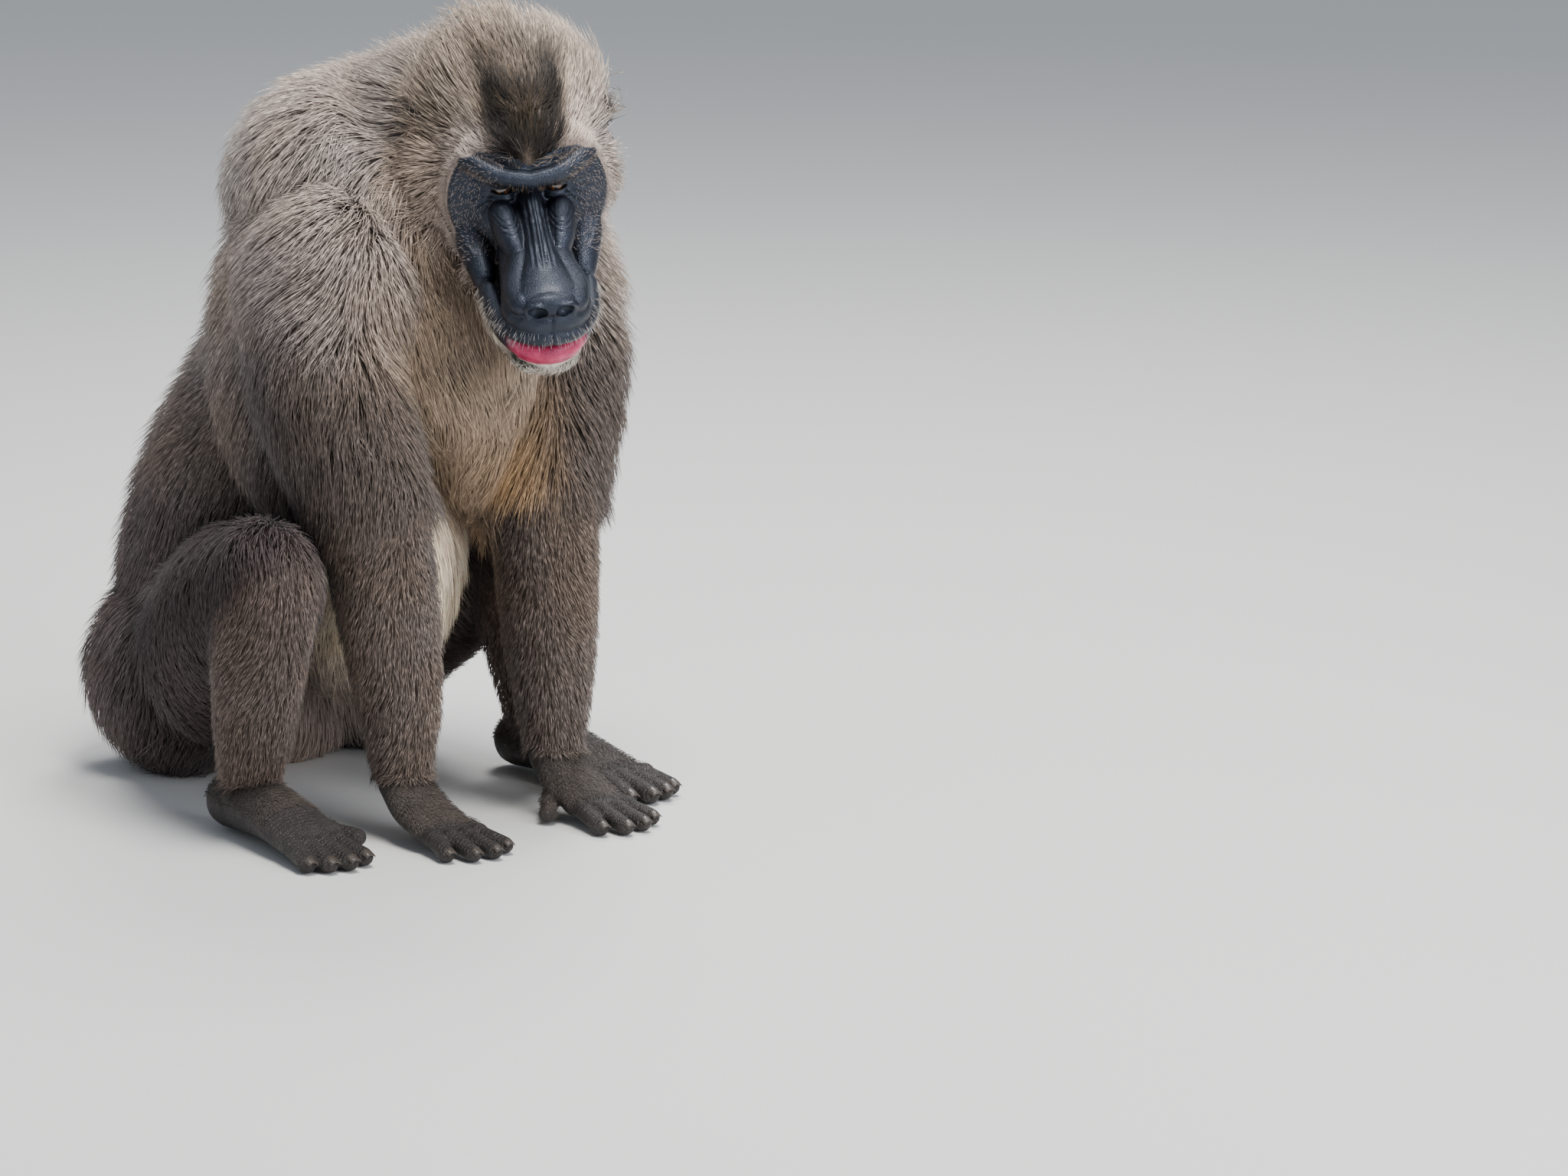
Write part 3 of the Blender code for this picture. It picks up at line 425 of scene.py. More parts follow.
def mound(x, wide, z, high):
    """1 where x and z are 0, falling off smoothly over the width and height."""
    return np.exp(-(x / wide) ** 2 - (z / high) ** 2)


def paint(r, g, b):
    """A colour given as on a screen, 0 to 255, in the linear values that shaders take."""
    return tuple((c / 255 / 12.92) if c < 10.3 else ((c / 255 + 0.055) / 1.055) ** 2.4 for c in (r, g, b))


# The skin

MARKS = ("head", "body", "hand", "foot")


def thinner(rows, depth):
    return tuple((x, y, z, wide - depth, deep - depth) for x, y, z, wide, deep in rows)


def smaller(form, depth):
    return form[0], tuple(r - depth for r in form[1])


def arm_rows(rows, side):
    """An arm's stations on one side, with the sway of the girdle above the elbow."""
    top = UPPER_ARM[0][2]
    found = []
    for row in rows:
        share = max(0.0, (row[2] - ELBOW_HEIGHT) / (top - ELBOW_HEIGHT))
        sway = ELBOW_SWAY + (SHOULDER_SWAY - ELBOW_SWAY) * share
        found.append((row[0] * side + sway, *row[1:]))
    return found


def head_matrix():
    turn = Matrix.Rotation(HEAD_YAW, 4, "Z") @ Matrix.Rotation(HEAD_ROLL, 4, "Y")
    return Matrix.Translation(HEAD_PLACE) @ (turn @ Matrix.Rotation(HEAD_PITCH, 4, "X"))


def body_rows():
    """The middle line and half-widths of each long part of the body, at the skin."""
    single = (("trunk", TRUNK), ("neck", NECK), ("tail", TAIL))
    rows = {name: thinner(form, DEPTH[name]) for name, form in single}
    rows["bib"] = thinner(BIB, DEPTH["arm"])
    for word, side in (("left", 1), ("right", -1)):
        rows["arm_" + word] = thinner(arm_rows(UPPER_ARM, side), DEPTH["arm"])
        rows["fold_" + word] = thinner(arm_rows(FOLD, side), DEPTH["arm"])
        rows["forearm_" + word] = thinner(arm_rows(FOREARM, side), DEPTH["forearm"])
        rows["thigh_" + word] = thinner(mirrored(THIGHS[side], side), DEPTH["thigh"])
        rows["shin_" + word] = thinner(mirrored(SHINS[side], side), DEPTH["shin"])
    return rows


def body_balls():
    """The rounded forms of the trunk, at the skin."""
    found = [smaller(form, DEPTH["trunk"]) for form in (HUMP, CHEST, BELLY)]
    for side in (1, -1):
        (x, y, z), radii = smaller(SHOULDER, DEPTH["trunk"])
        found.append((((x + TRUNK_LEAN * side) * side, y, z), radii))
        (x, y, z), radii = smaller(HAUNCH, DEPTH["trunk"])
        found.append(((x * side, y, z), radii))
    return found


def make_body(marks):
    bm = bmesh.new()
    for rows in body_rows().values():
        add_limb(bm, rows, sides=32)
    for form in body_balls():
        add_ball(bm, form)
    return fused("body", bm, BODY_GRID, 8, marks)


def lid_folds(side, height):
    """An arc over (1) or under (-1) the eye, in the head's frame."""
    x, y, z = EYE[0]
    found = []
    for dx, dz in LID_FOLD:
        ahead = math.sqrt(max(0, LID_REACH ** 2 - dx * dx * 0.6 - dz * dz))
        found.append(((x + dx) * side, y - ahead, z + dz * height))
    return found


def make_head(marks):
    """The head in its own frame, with lids, wings of the nose, lips and ears."""
    bm = bmesh.new()
    for form in (SKULL, JOWL, DISC, smaller(HAIR_CAP, CAP_DEPTH), smaller(RUFF, CAP_DEPTH), NOSE_PAD):
        add_ball(bm, form, sides=64)
    add_ball(bm, smaller(FORELOCK, FORELOCK_DEPTH))
    for rows in (MUZZLE, BRIDGE, NOSE_RIDGE, JAW):
        add_limb(bm, rows, sides=40)
    for side in (1, -1):
        add_limb(bm, mirrored(PARANASAL, side))
        add_limb(bm, mirrored(MUZZLE_SIDE, side))
        add_limb(bm, mirrored(CHEEK, side))
        add_ball(bm, (EYE[0], (LID_BALL,) * 3), side)
        add_ball(bm, EAR, side)
        add_cord(bm, mirrored(BROW, side), BROW_RADIUS)
        for height, radius in (UPPER_LID, LOWER_LID):
            add_cord(bm, lid_folds(side, height), radius)
        add_cord(bm, mirrored(NOSE_WING, side), NOSE_WING_RADIUS)
    add_cord(bm, both_sides(UPPER_LIP), UPPER_LIP_RADIUS, 20)
    add_cord(bm, both_sides(LOWER_LIP), LOWER_LIP_RADIUS, 20)
    head = fused("head", bm, HEAD_GRID, 4, marks)
    for side in (1, -1):
        slit = ((EYE[0][0], EYE[0][1] - LID_SLIT_AHEAD, EYE[0][2]), LID_SLIT)
        for form in (slit, (EYE[0], (EYE[1] + 0.0002,) * 3), NOSTRIL, EAR_CUP):
            bm = bmesh.new()
            add_ball(bm, form, side)
            combine(head, as_object("hollow_cutter", bm), "DIFFERENCE")
    return head


def make_hand(side, marks):
    bm = bmesh.new()
    add_limb(bm, arm_rows(PALM, side))
    middle, front = PALM[-1][0], PALM[-1][1]
    for spread, length in zip(FINGER_SPREAD, FINGER_LENGTH):
        points = [
            (middle + spread * 0.8, front + 0.008, 0.014),
            (middle + spread, front - length * 0.4, 0.0125),
            (middle + spread * 1.25, front - length, 0.0075),
        ]
        add_digit(bm, [(x * side + ELBOW_SWAY, y, z) for x, y, z in points], FINGER_RADIUS)
    add_digit(bm, [(x * side + ELBOW_SWAY, y, z) for x, y, z in THUMB], FINGER_RADIUS)
    return fused("hand", bm, END_GRID, 3, marks)


def foot_rows(rows, side):
    """A foot's places or stations on one side."""
    aside, back = FOOT_SHIFT[side]
    return [(row[0] * side + aside * side, row[1] + back, *row[2:]) for row in rows]


def make_foot(side, marks):
    bm = bmesh.new()
    add_limb(bm, foot_rows(SOLE, side))
    middle, front = SOLE[-1][0], SOLE[-1][1]
    for spread, length in zip(TOE_SPREAD, TOE_LENGTH):
        points = [
            (middle + spread * 0.8, front + 0.010, 0.016),
            (middle + spread, front - length * 0.4, 0.0140),
            (middle + spread * 1.2, front - length, 0.0082),
        ]
        add_digit(bm, foot_rows(points, side), TOE_RADIUS)
    add_digit(bm, foot_rows(BIG_TOE, side), TOE_RADIUS)
    return fused("foot", bm, END_GRID, 3, marks)


def add_digit(bm, points, radius):
    """A finger or toe, with a knuckle at its middle and a pad at its tip."""
    rows = smooth_rows([(*p, radius * 0.94, radius * 0.94) for p in points], 4)
    add_limb(bm, rows, 14, 1)
    x, y, z = rows[len(rows) // 2][:3]
    add_ball(bm, ((x, y, z + radius * 0.12), (radius * 1.06,) * 3), sides=16)
    x, y, z = rows[-1][:3]
    pad = (radius, radius * 1.1, radius * 0.9)
    add_ball(bm, ((x, y + radius * 0.2, z - radius * 0.05), pad), sides=16)


def disc_share(hx, hz):
    """Under 1 inside the bare disc of the face, 1 at its edge."""
    half_width, half_height, middle = FACE_DISC
    return (hx / half_width) ** 2 + ((hz - middle) / half_height) ** 2


def sculpt_face(obj):
    """Fine relief of the face, in the head's frame: wrinkles, ridges of the nose, groove of the lip."""
    points, normals = points_of(obj.data), normals_of(obj.data)
    x, y, z = points.T
    lift = np.zeros(len(points))
    for side in (1, -1):
        # Rings under the eye and rays beside it
        dx, dz = x * side - EYE[0][0], z - EYE[0][2]
        reach, angle = np.hypot(dx * 0.85, dz), np.arctan2(dz, dx)
        below = step_up(-np.sin(angle), 0.15, 0.7) * window(reach, 0.0115, 0.0135, 0.018, 0.022)
        lift += 0.00035 * below * np.cos(reach * 2 * math.pi / 0.0031) * (y < 0.03)
        outer = step_up(np.cos(angle), 0.5, 0.9) * window(reach, 0.012, 0.015, 0.024, 0.030)
        lift += 0.00040 * outer * np.cos(angle * 22) * (y < 0.03)

        # A furrow down the inner side of the swelling beside the nose
        swelling = 0.026 - 0.011 * np.clip((-y - 0.004) / 0.080, 0, 1)
        off = np.abs(x * side - swelling)
        furrow = window(off, 0.0, 0.002, 0.006, 0.011) * np.exp(-((x * side - swelling + 0.0085) / 0.0012) ** 2)
        lift -= 0.0006 * furrow * step_up(-y, 0.004, 0.02) * (y > -0.062)

    # Fine ridges that fan out down the nose
    front = step_up(-normals[:, 1], -0.1, 0.5)
    middle = 1 - step_up(np.abs(x), 0.0085, 0.0115)
    spacing = 0.0034 + 0.0016 * np.clip(-y / 0.080, 0, 1)
    on_nose = middle * window(-y, 0.004, 0.014, 0.064, 0.080) * (z > -0.060) * (z < -0.002)
    lift += 0.00060 * on_nose * np.cos(x / spacing * 2 * math.pi) * front

    # The groove of the upper lip and the raised edge of the disc
    lift -= 0.0011 * np.exp(-(x / 0.0016) ** 2) * (y < -0.094) * (z < -0.062) * (z > -0.094)
    edge = np.exp(-((disc_share(x, z) - 0.93) / 0.05) ** 2)
    lift += 0.0008 * edge * (y < 0.024) * (y > -0.01) * (z < 0.012)
    set_points(obj.data, points + normals * lift[:, None])


def make_skin(marks):
    """One closed skin: the head, body, hands and feet joined. Each face keeps the mark of its part."""
    head = make_head(marks)
    sculpt_face(head)
    head.data.transform(head_matrix())
    skin = make_body(marks)
    others = [head]
    for side in (1, -1):
        others += [make_hand(side, marks), make_foot(side, marks)]
    for other in others:
        other.data.update()
        combine(skin, other, "UNION")
    points = points_of(skin.data)
    points[:, 2] = np.maximum(points[:, 2], LOWEST_SKIN)
    set_points(skin.data, points)
    skin.name = skin.data.name = "skin"
    return skin


# What grows where: fields over the skin's points


class Fields:
    """The skin's points with the values that the coat and colours are made from."""


def gaps_to_rows(points, rows):
    """For each point: its gap to the tube of rows, and the tube's direction there."""
    rows = np.array(smooth_rows(rows, 3))
    gap = np.full(len(points), np.inf)
    lie = np.zeros((len(points), 3))
    for k in range(len(rows) - 1):
        start, step = rows[k, :3], rows[k + 1, :3] - rows[k, :3]
        t = np.clip((points - start) @ step / (step @ step), 0, 1)
        radius = (rows[k, 3:5] * (1 - t[:, None]) + rows[k + 1, 3:5] * t[:, None]).mean(1)
        found = np.linalg.norm(points - start - t[:, None] * step, axis=1) - radius
        nearer = found < gap
        gap[nearer] = found[nearer]
        lie[nearer] = step / np.linalg.norm(step)
    return gap, lie


def gap_to_ball(points, form):
    centre, radii = np.array(form[0]), np.array(form[1])
    return (np.linalg.norm((points - centre) / radii, axis=1) - 1) * radii.min()


def gap_to_path(points, path):
    """Distance of each point from a path."""
    return gaps_to_rows(points, [(*p, 0, 0) for p in path])[0]


# Each region's coat: length, height of the tips, width, tufts to a square metre, spacing of the wisps,
# how strongly tufts draw into wisps, number of stretches in a tuft, and how clearly hairs are banded
COATS = {
    "bare": (0.004, 0.002, 0.0005, 0, 0.004, 0.0, 2, 0.0),
    "stubble": (0.0032, 0.0018, 0.00030, 330000, 0.006, 0.0, 2, 0.2),
    "crest": (0.046, 0.032, 0.00085, 300000, 0.009, 0.32, 3, 0.8),
    "ruff": (0.036, 0.020, 0.00088, 410000, 0.008, 0.12, 3, 0.8),
    "rim": (0.013, 0.0075, 0.00050, 520000, 0.005, 0.15, 2, 0.3),
    "chin": (0.018, 0.0075, 0.00055, 620000, 0.006, 0.30, 2, 0.1),
    "nape": (0.046, 0.026, 0.00095, 230000, 0.010, 0.24, 3, 0.7),
    "mantle": (0.050, 0.028, 0.00098, 210000, 0.010, 0.24, 3, 0.8),
    "chest": (0.074, 0.024, 0.00090, 240000, 0.015, 0.60, 3, 0.5),
    "belly": (0.050, 0.016, 0.00080, 240000, 0.012, 0.40, 3, 0.2),
    "flank": (0.048, 0.024, 0.00100, 150000, 0.011, 0.34, 3, 0.6),
    "arm": (0.050, 0.022, 0.00092, 215000, 0.010, 0.24, 3, 0.8),
    "forearm": (0.018, 0.0085, 0.00070, 350000, 0.007, 0.20, 2, 1.0),
    "thigh": (0.032, 0.0125, 0.00090, 190000, 0.009, 0.28, 3, 0.7),
    "shin": (0.018, 0.0080, 0.00075, 290000, 0.007, 0.20, 2, 0.9),
    "back_of_hand": (0.007, 0.0026, 0.00045, 420000, 0.005, 0.1, 2, 0.4),
    "tail": (0.018, 0.0070, 0.00080, 260000, 0.007, 0.20, 2, 0.6),
    "ear": (0.008, 0.0035, 0.00050, 420000, 0.005, 0.2, 2, 0.3),
}
COAT_TRIANGLES = 1450000
# Height above which the trunk wears mantle and chest hair, and how far round from its front two regions go
WAIST = 0.27
CHEST_ANGLE, BELLY_ANGLE = math.radians(42), math.radians(40)
# The hair lies straight down the arms as on the trunk above the second height, and along them below the first
CAPE_HEIGHTS = (0.34, 0.43)
# The chest's long hair goes on over the inner side of the left arm, up to a plane across this direction
CHEST_SIDE, CHEST_EDGE, CHEST_END = np.array((0.788, -0.616, 0.0)), 0.158, 0.268
# How far forward short hair goes on the back of a hand or foot
FURRY_TO = {"hand": -0.222, "foot": -0.150}
REGIONS = list(COATS)
CODE = {name: k for k, name in enumerate(REGIONS)}

# Colours of the coat and of bare skin
TINTS = {
    "bare": paint(30, 31, 35),
    "stubble": paint(150, 138, 132),
    "crest": paint(158, 142, 126),
    "ruff": paint(166, 148, 132),
    "rim": paint(198, 182, 170),
    "chin": paint(226, 217, 202),
    "nape": paint(160, 146, 134),
    "mantle": paint(148, 135, 126),
    "chest": paint(152, 131, 110),
    # The belly: its own pale cream, raised further as painted light against the shade of the arms
    "belly": paint(250, 232, 204),
    "flank": paint(92, 82, 79),
    "arm": paint(88, 78, 72),
    "forearm": paint(108, 95, 86),
    # The thigh: its own purplish brown, darkened further as painted shade
    "thigh": paint(68, 58, 56),
    "shin": paint(102, 88, 80),
    "back_of_hand": paint(70, 62, 57),
    "tail": paint(112, 99, 92),
    "ear": paint(88, 80, 74),
}
FORELOCK_TINT, FORELOCK_MIDDLE = paint(15, 10, 9), paint(66, 55, 38)
# Pale hair on the crown and the top of the mantle: partly the hair's own pale tips, partly a painted highlight
# where light falls from above
PALE_TIPS_AND_TOP_HIGHLIGHT = paint(178, 165, 154)
# The mantle's lower part: partly its own browner hair, partly painted shade
LOW_MANTLE_TONE_AND_SHADE = paint(98, 88, 83)
LOW_BELLY = paint(140, 120, 112)
STREAK_TINT = paint(204, 164, 116)
DIGIT_TINT = paint(48, 42, 40)
EAR_TINT = paint(86, 78, 74)


def is_region(f, *names):
    return np.isin(f.region, [CODE[name] for name in names])


def read_fields(skin):
    """Region, lie of the hair and colour at each of the skin's points."""
    f = Fields()
    mesh = skin.data
    f.points, f.normals = points_of(mesh), normals_of(mesh)
    count = len(f.points)
    mesh.calc_loop_triangles()
    f.triangles = read_values(mesh.loop_triangles, "vertices", 3, np.int32)
    f.edges = read_values(mesh.edges, "vertices", 2, np.int32)
    owner = read_values(mesh.loop_triangles, "material_index", 1, np.int32)
    f.on = {name: np.zeros(count, bool) for name in MARKS}
    for k, name in enumerate(MARKS):
        f.on[name][f.triangles[owner == k].ravel()] = True
    inverse = np.array(head_matrix().inverted())
    f.in_head = f.points @ inverse[:3, :3].T + inverse[:3, 3]
    set_body_regions(f)
    set_end_regions(f)
    set_head_regions(f)
    f.lie = unit(f.lie)
    f.bare = is_region(f, "bare", "stubble", "back_of_hand", "ear").astype(float)
    settle_values(f)
    return f


def set_body_regions(f):
    """Regions and lie of the hair on the trunk, neck, tail and limbs."""
    height = f.points[:, 2]
    rows = body_rows()
    gaps = {name: gaps_to_rows(f.points, row) for name, row in rows.items()}
    trunk_gap = np.minimum.reduce([gaps["trunk"][0], *(gap_to_ball(f.points, form) for form in body_balls())])
    names = [name for name in rows if name != "trunk"]
    nearest = np.array([trunk_gap, *(gaps[name][0] for name in names)]).argmin(0)
    axis = np.array(rows["trunk"])
    middle = np.column_stack([np.interp(height, axis[:, 2], axis[:, k]) for k in (0, 1)])
    f.around = np.arctan2(f.points[:, 0] - middle[:, 0], -(f.points[:, 1] - middle[:, 1]))
    region = np.full(len(height), CODE["mantle"])
    region[height < WAIST] = CODE["flank"]
    region[(np.abs(f.around) < CHEST_ANGLE) & (height > WAIST)] = CODE["chest"]
    region[(np.abs(f.around) < BELLY_ANGLE) & (height <= WAIST)] = CODE["belly"]

    swing, level, down = np.sin(f.around), np.zeros(len(height)), -np.ones(len(height))
    back_lie = np.column_stack((0.25 * swing, level + 0.30, down))
    chest_lie = np.column_stack((-0.75 * swing, level - 0.15, down))
    rump_lie = np.column_stack((0.35 * swing, level + 0.10, down))
    neck_lie = np.column_stack((0.3 * swing, level + 1.0, down * 0.3))
    lie = np.where((height < WAIST)[:, None], rump_lie, back_lie)
    lie = np.where((region == CODE["chest"])[:, None], chest_lie, lie)
    for k, name in enumerate(names, 1):
        mine = (nearest == k) & f.on["body"]
        part = name.split("_")[0]
        region[mine] = CODE[{"neck": "nape", "bib": "chest", "fold": "mantle"}.get(part, part)]
        direction = gaps[name][1]
        outward = np.zeros((len(height), 3))
        outward[:, 0] = 0.25 * np.sign(rows[name][0][0] + 1e-9)
        if part in ("bib", "neck"):
            direction, outward = {"bib": chest_lie, "neck": neck_lie}[part], outward * 0
        elif part == "thigh":
            direction = direction * 0.5 + np.array((0, 0, -0.8))
        elif part in ("arm", "fold", "forearm"):
            cape = step_up(height, *CAPE_HEIGHTS)[:, None]
            flow = np.array((0.08 * np.sign(rows[name][0][0]), 0.10, -1.0))
            direction = (direction + np.array((0, 0.18, 0))) * (1 - cape) + flow * cape
            outward = outward * (1 - cape)
        lie[mine] = (direction + outward)[mine]
        if name == "arm_left":
            inner = mine & (f.points @ CHEST_SIDE < CHEST_EDGE) & (height > CHEST_END)
            region[inner] = CODE["chest"]
            lie[inner] = (-0.45, -0.10, -1.0)
    f.region, f.lie = region, lie


def set_end_regions(f):
    """Hands and feet: short hair on their backs, bare digits, palms and soles."""
    for name, front in FURRY_TO.items():
        mine = f.on[name] & ~f.on["body"]
        f.region[mine] = CODE["bare"]
        f.lie[mine] = (0, -1, -0.1)
        f.region[mine & (f.normals[:, 2] > 0.05) & (f.points[:, 1] > front)] = CODE["back_of_hand"]


def set_head_regions(f):
    """Crown, ruff, the bare disc with its stubbled sides and short-haired rim, chin and ears."""
    mine, region = f.on["head"], f.region
    hx, hy, hz = f.in_head.T
    aside = np.abs(hx)
    turn = np.array(head_matrix().to_3x3())
    level, down = np.zeros(len(hx)), -np.ones(len(hx))
    rise = step_up(hz, -0.01, 0.055)
    head_lie = np.column_stack((np.clip(hx * 5, -0.5, 0.5), level + 0.75, -0.65 + 1.35 * rise)) @ turn.T
    beard_lie = np.column_stack((np.clip(hx * 8, -0.5, 0.5), level - 0.25, down)) @ turn.T
    f.lie[mine] = head_lie[mine]
    region[mine] = np.where(hz > 0.020, CODE["crest"], CODE["ruff"])[mine]

    # The bare disc reaches further where the face stands forward, up to the hair line over the brow
    disc = disc_share(hx, hz)
    hair_line = 0.017 + 0.0105 * (1 - ((aside - 0.034) / 0.034) ** 2)
    forehead = (hz > hair_line) & (hy > -0.02)
    reach = 1.0 + 4.0 * np.clip((0.010 - hy) / 0.026, 0, 1)
    face = mine & (hy < 0.024) & (disc < reach) & ~forehead
    rim = mine & ~face & (disc < 1.10) & (hy < 0.034) & (hz < 0.016 + 0.6 * aside)
    region[rim] = CODE["rim"]
    f.rim = mine * (1 - step_up(disc, 1.02, 1.62)) * (1 - step_up(hy, 0.036, 0.060))
    f.rim = f.rim * step_up(aside - hz * 0.6, 0.0, 0.014)
    region[face] = CODE["bare"]

    f.lower_lip = gap_to_path(f.in_head, both_sides(LOWER_LIP))
    f.upper_lip = gap_to_path(f.in_head, both_sides(UPPER_LIP))
    chin = mine & (hz < -0.088) & (hy < 0.02) & (f.lower_lip > LOWER_LIP_RADIUS * 1.18)
    chin &= (f.normals @ turn[:, 2] < 0.35) & (f.upper_lip > UPPER_LIP_RADIUS * 1.25)
    region[chin] = CODE["chin"]
    f.lie[chin] = beard_lie[chin]
    region[face & ~chin & (disc > 0.36) & (hy > -0.012) & (hz < 0.034)] = CODE["stubble"]
    x, y, z = EAR[0]
    ears = mine & (aside > 0.066) & (np.abs(aside - x) < 0.022) & (np.abs(hy - y) < 0.012)
    region[ears & (np.abs(hz - z) < 0.023)] = CODE["ear"]


def toward(base, colour, share):
    """The colours in base, each moved its own share of the way to one colour."""
    return base * (1 - share[:, None]) + np.array(colour) * share[:, None]


def tints_of(f, edge, throat):
    """Colour of the coat, or of bare skin, at each point."""
    hx, hy, hz = f.in_head.T
    height, head = f.points[:, 2], f.on["head"]
    mantle, sleeve = ~head & is_region(f, "mantle"), ~head & is_region(f, "arm")
    front = head * (1 - step_up(hy, 0.050, 0.080)) * step_up(hz, 0.014, 0.024)
    front = front * (1 - 0.75 * step_up(hz, 0.060, 0.085))
    crown = head * step_up(hy, 0.080, 0.120) * step_up(hz, 0.02, 0.05)
    streak = mound(f.points @ CHEST_SIDE - 0.146, 0.016, height - 0.315, 0.045) * (f.points[:, 1] < -0.05)
    tint = np.array([TINTS[name] for name in REGIONS])[f.region]
    for colour, share in (
        (TINTS["rim"], edge),
        (TINTS["ruff"], 0.85 * throat),
        (FORELOCK_TINT, front * (1 - step_up(np.abs(hx), 0.020, 0.034))),
        (FORELOCK_MIDDLE, 0.7 * front * mound(hx, 0.012, hz - 0.046, 0.014)),
        # Painted highlight: the back of the crown and the top of the mantle are paler, partly pale tips, partly
        # as if lit from above
        (PALE_TIPS_AND_TOP_HIGHLIGHT, 0.45 * crown),
        (PALE_TIPS_AND_TOP_HIGHLIGHT, 0.6 * mantle * step_up(height, 0.45, 0.56)),
        # Painted shade: the mantle darkens towards its bottom, partly its own browner hair
        (LOW_MANTLE_TONE_AND_SHADE, 0.9 * mantle * (1 - step_up(height, 0.32, 0.46))),
        (LOW_BELLY, 0.85 * is_region(f, "belly") * (1 - step_up(height, 0.10, 0.20))),
        (TINTS["mantle"], 0.7 * sleeve * step_up(height, 0.37, 0.47)),
        (STREAK_TINT, np.clip(streak, 0, 0.7) * is_region(f, "chest")),
    ):
        tint = toward(tint, colour, share)
    bare = is_region(f, "bare", "stubble")
    tint[(f.on["hand"] | f.on["foot"]) & bare] = DIGIT_TINT
    tint[head & bare] = TINTS["bare"]
    tint[is_region(f, "ear")] = EAR_TINT
    return tint


def settle_values(f):
    """Coat sizes and colours at each point, softened across the borders of regions."""
    hx, hy, hz = f.in_head.T
    head = f.on["head"]
    table = np.array([COATS[name] for name in REGIONS])
    values = table[f.region][:, (0, 1, 2, 3, 4, 5, 7)]

    # Short hair beside the face, longer hair towards the throat
    edge = f.rim * is_region(f, "ruff", "crest")
    for k in range(4):
        values[:, k] += (COATS["rim"][k] - values[:, k]) * edge
    throat = head * is_region(f, "chin") * step_up(hy, -0.055, -0.015)
    values[:, :2] *= 1 + 0.8 * throat[:, None]

    # The crown stands highest at the back and a little to the right, and is short over the brow
    crown = head * is_region(f, "crest")
    peak = mound(hx + 0.016, 0.030, hy - 0.095, 0.035) * step_up(hz, 0.03, 0.06)
    values[:, 1] *= 1 + crown * (0.75 * peak - 0.35 * (1 - step_up(hy, 0.030, 0.070)))
    values[:, 0] *= 1 - crown * 0.45 * (1 - step_up(hy, 0.030, 0.075))

    stack = np.column_stack((values, tints_of(f, edge, throat), f.lie, f.bare))
    stack = softened(stack, f.edges, 14, np.where(head & (hy < 0.03), 0.25, 1.0))
    f.length, f.height, f.width, f.density, f.spacing, f.pull, f.banding = stack[:, :7].T
    f.tint, f.lie, f.soft_bare = stack[:, 7:10], unit(stack[:, 10:13]), stack[:, 13]
    f.steps = table[f.region][:, 6]
    lip = 1 - step_up(f.lower_lip, LOWER_LIP_RADIUS * 1.10, LOWER_LIP_RADIUS * 1.30)
    f.lip = lip * (hz < -0.0785) * (1 - step_up(np.abs(hx), 0.025, 0.035)) * head
    f.density[head & (f.lower_lip < LOWER_LIP_RADIUS * 1.18)] = 0
    f.density[head & is_region(f, "bare")] = 0


def softened(values, edges, rounds, share):
    """The values after several rounds of averaging with their neighbours along the edges."""
    count = len(values)
    near = np.bincount(edges.ravel(), minlength=count).astype(float)
    near = np.maximum(near, 1)[:, None]
    share = share[:, None] * 0.6
    for _ in range(rounds):
        total = np.empty_like(values)
        for k in range(values.shape[1]):
            column = values[:, k]
            total[:, k] = np.bincount(edges[:, 0], column[edges[:, 1]], count)
            total[:, k] += np.bincount(edges[:, 1], column[edges[:, 0]], count)
        values = values * (1 - share) + total / near * share
    return values


# The coat: tufts of solid mesh


def place_roots(f, chance):
    """Roots spread over the skin by each region's density, with the values there."""
    corners = f.points[f.triangles]
    edges = corners[:, 1:] - corners[:, :1]
    area = 0.5 * np.linalg.norm(np.cross(edges[:, 0], edges[:, 1]), axis=1)
    weight = area * f.density[f.triangles].mean(1)
    cost = np.array([TRIANGLES[int(k)] for k in f.steps])[f.triangles[:, 0]]
    weight *= COAT_TRIANGLES / (weight * cost).sum()
    total = int(weight.sum())
    run = np.cumsum(weight)
    picks = np.searchsorted(run, (np.arange(total) + chance.random(total)) * run[-1] / total)
    picks = np.minimum(picks, len(run) - 1)
    a, b = chance.random(total), chance.random(total)
    over = a + b > 1
    a[over], b[over] = 1 - a[over], 1 - b[over]
    shares = np.column_stack((1 - a - b, a, b))[:, :, None]
    members = f.triangles[picks]
    r = Fields()
    for name in ("points", "normals", "lie", "tint", "in_head"):
        setattr(r, name, (getattr(f, name)[members] * shares).sum(1))
    for name in ("length", "height", "width", "spacing", "pull", "banding", "around"):
        setattr(r, name, (getattr(f, name)[members] * shares[:, :, 0]).sum(1))
    r.region = f.region[members[:, 0]]
    r.steps = f.steps[members[:, 0]].astype(int)
    r.normals = unit(r.normals)
    return r


def sway(points, scale, seed):
    """A smooth random vector at each point, from a few waves."""
    chance = np.random.default_rng(seed)
    found = np.zeros((len(points), 3))
    for k in range(3):
        for _ in range(4):
            wave = unit(chance.normal(size=3)) * 2 * math.pi / (scale * chance.uniform(0.7, 1.6))
            found[:, k] += np.sin(points @ wave + chance.uniform(0, 6.3)) * 0.4
    return found


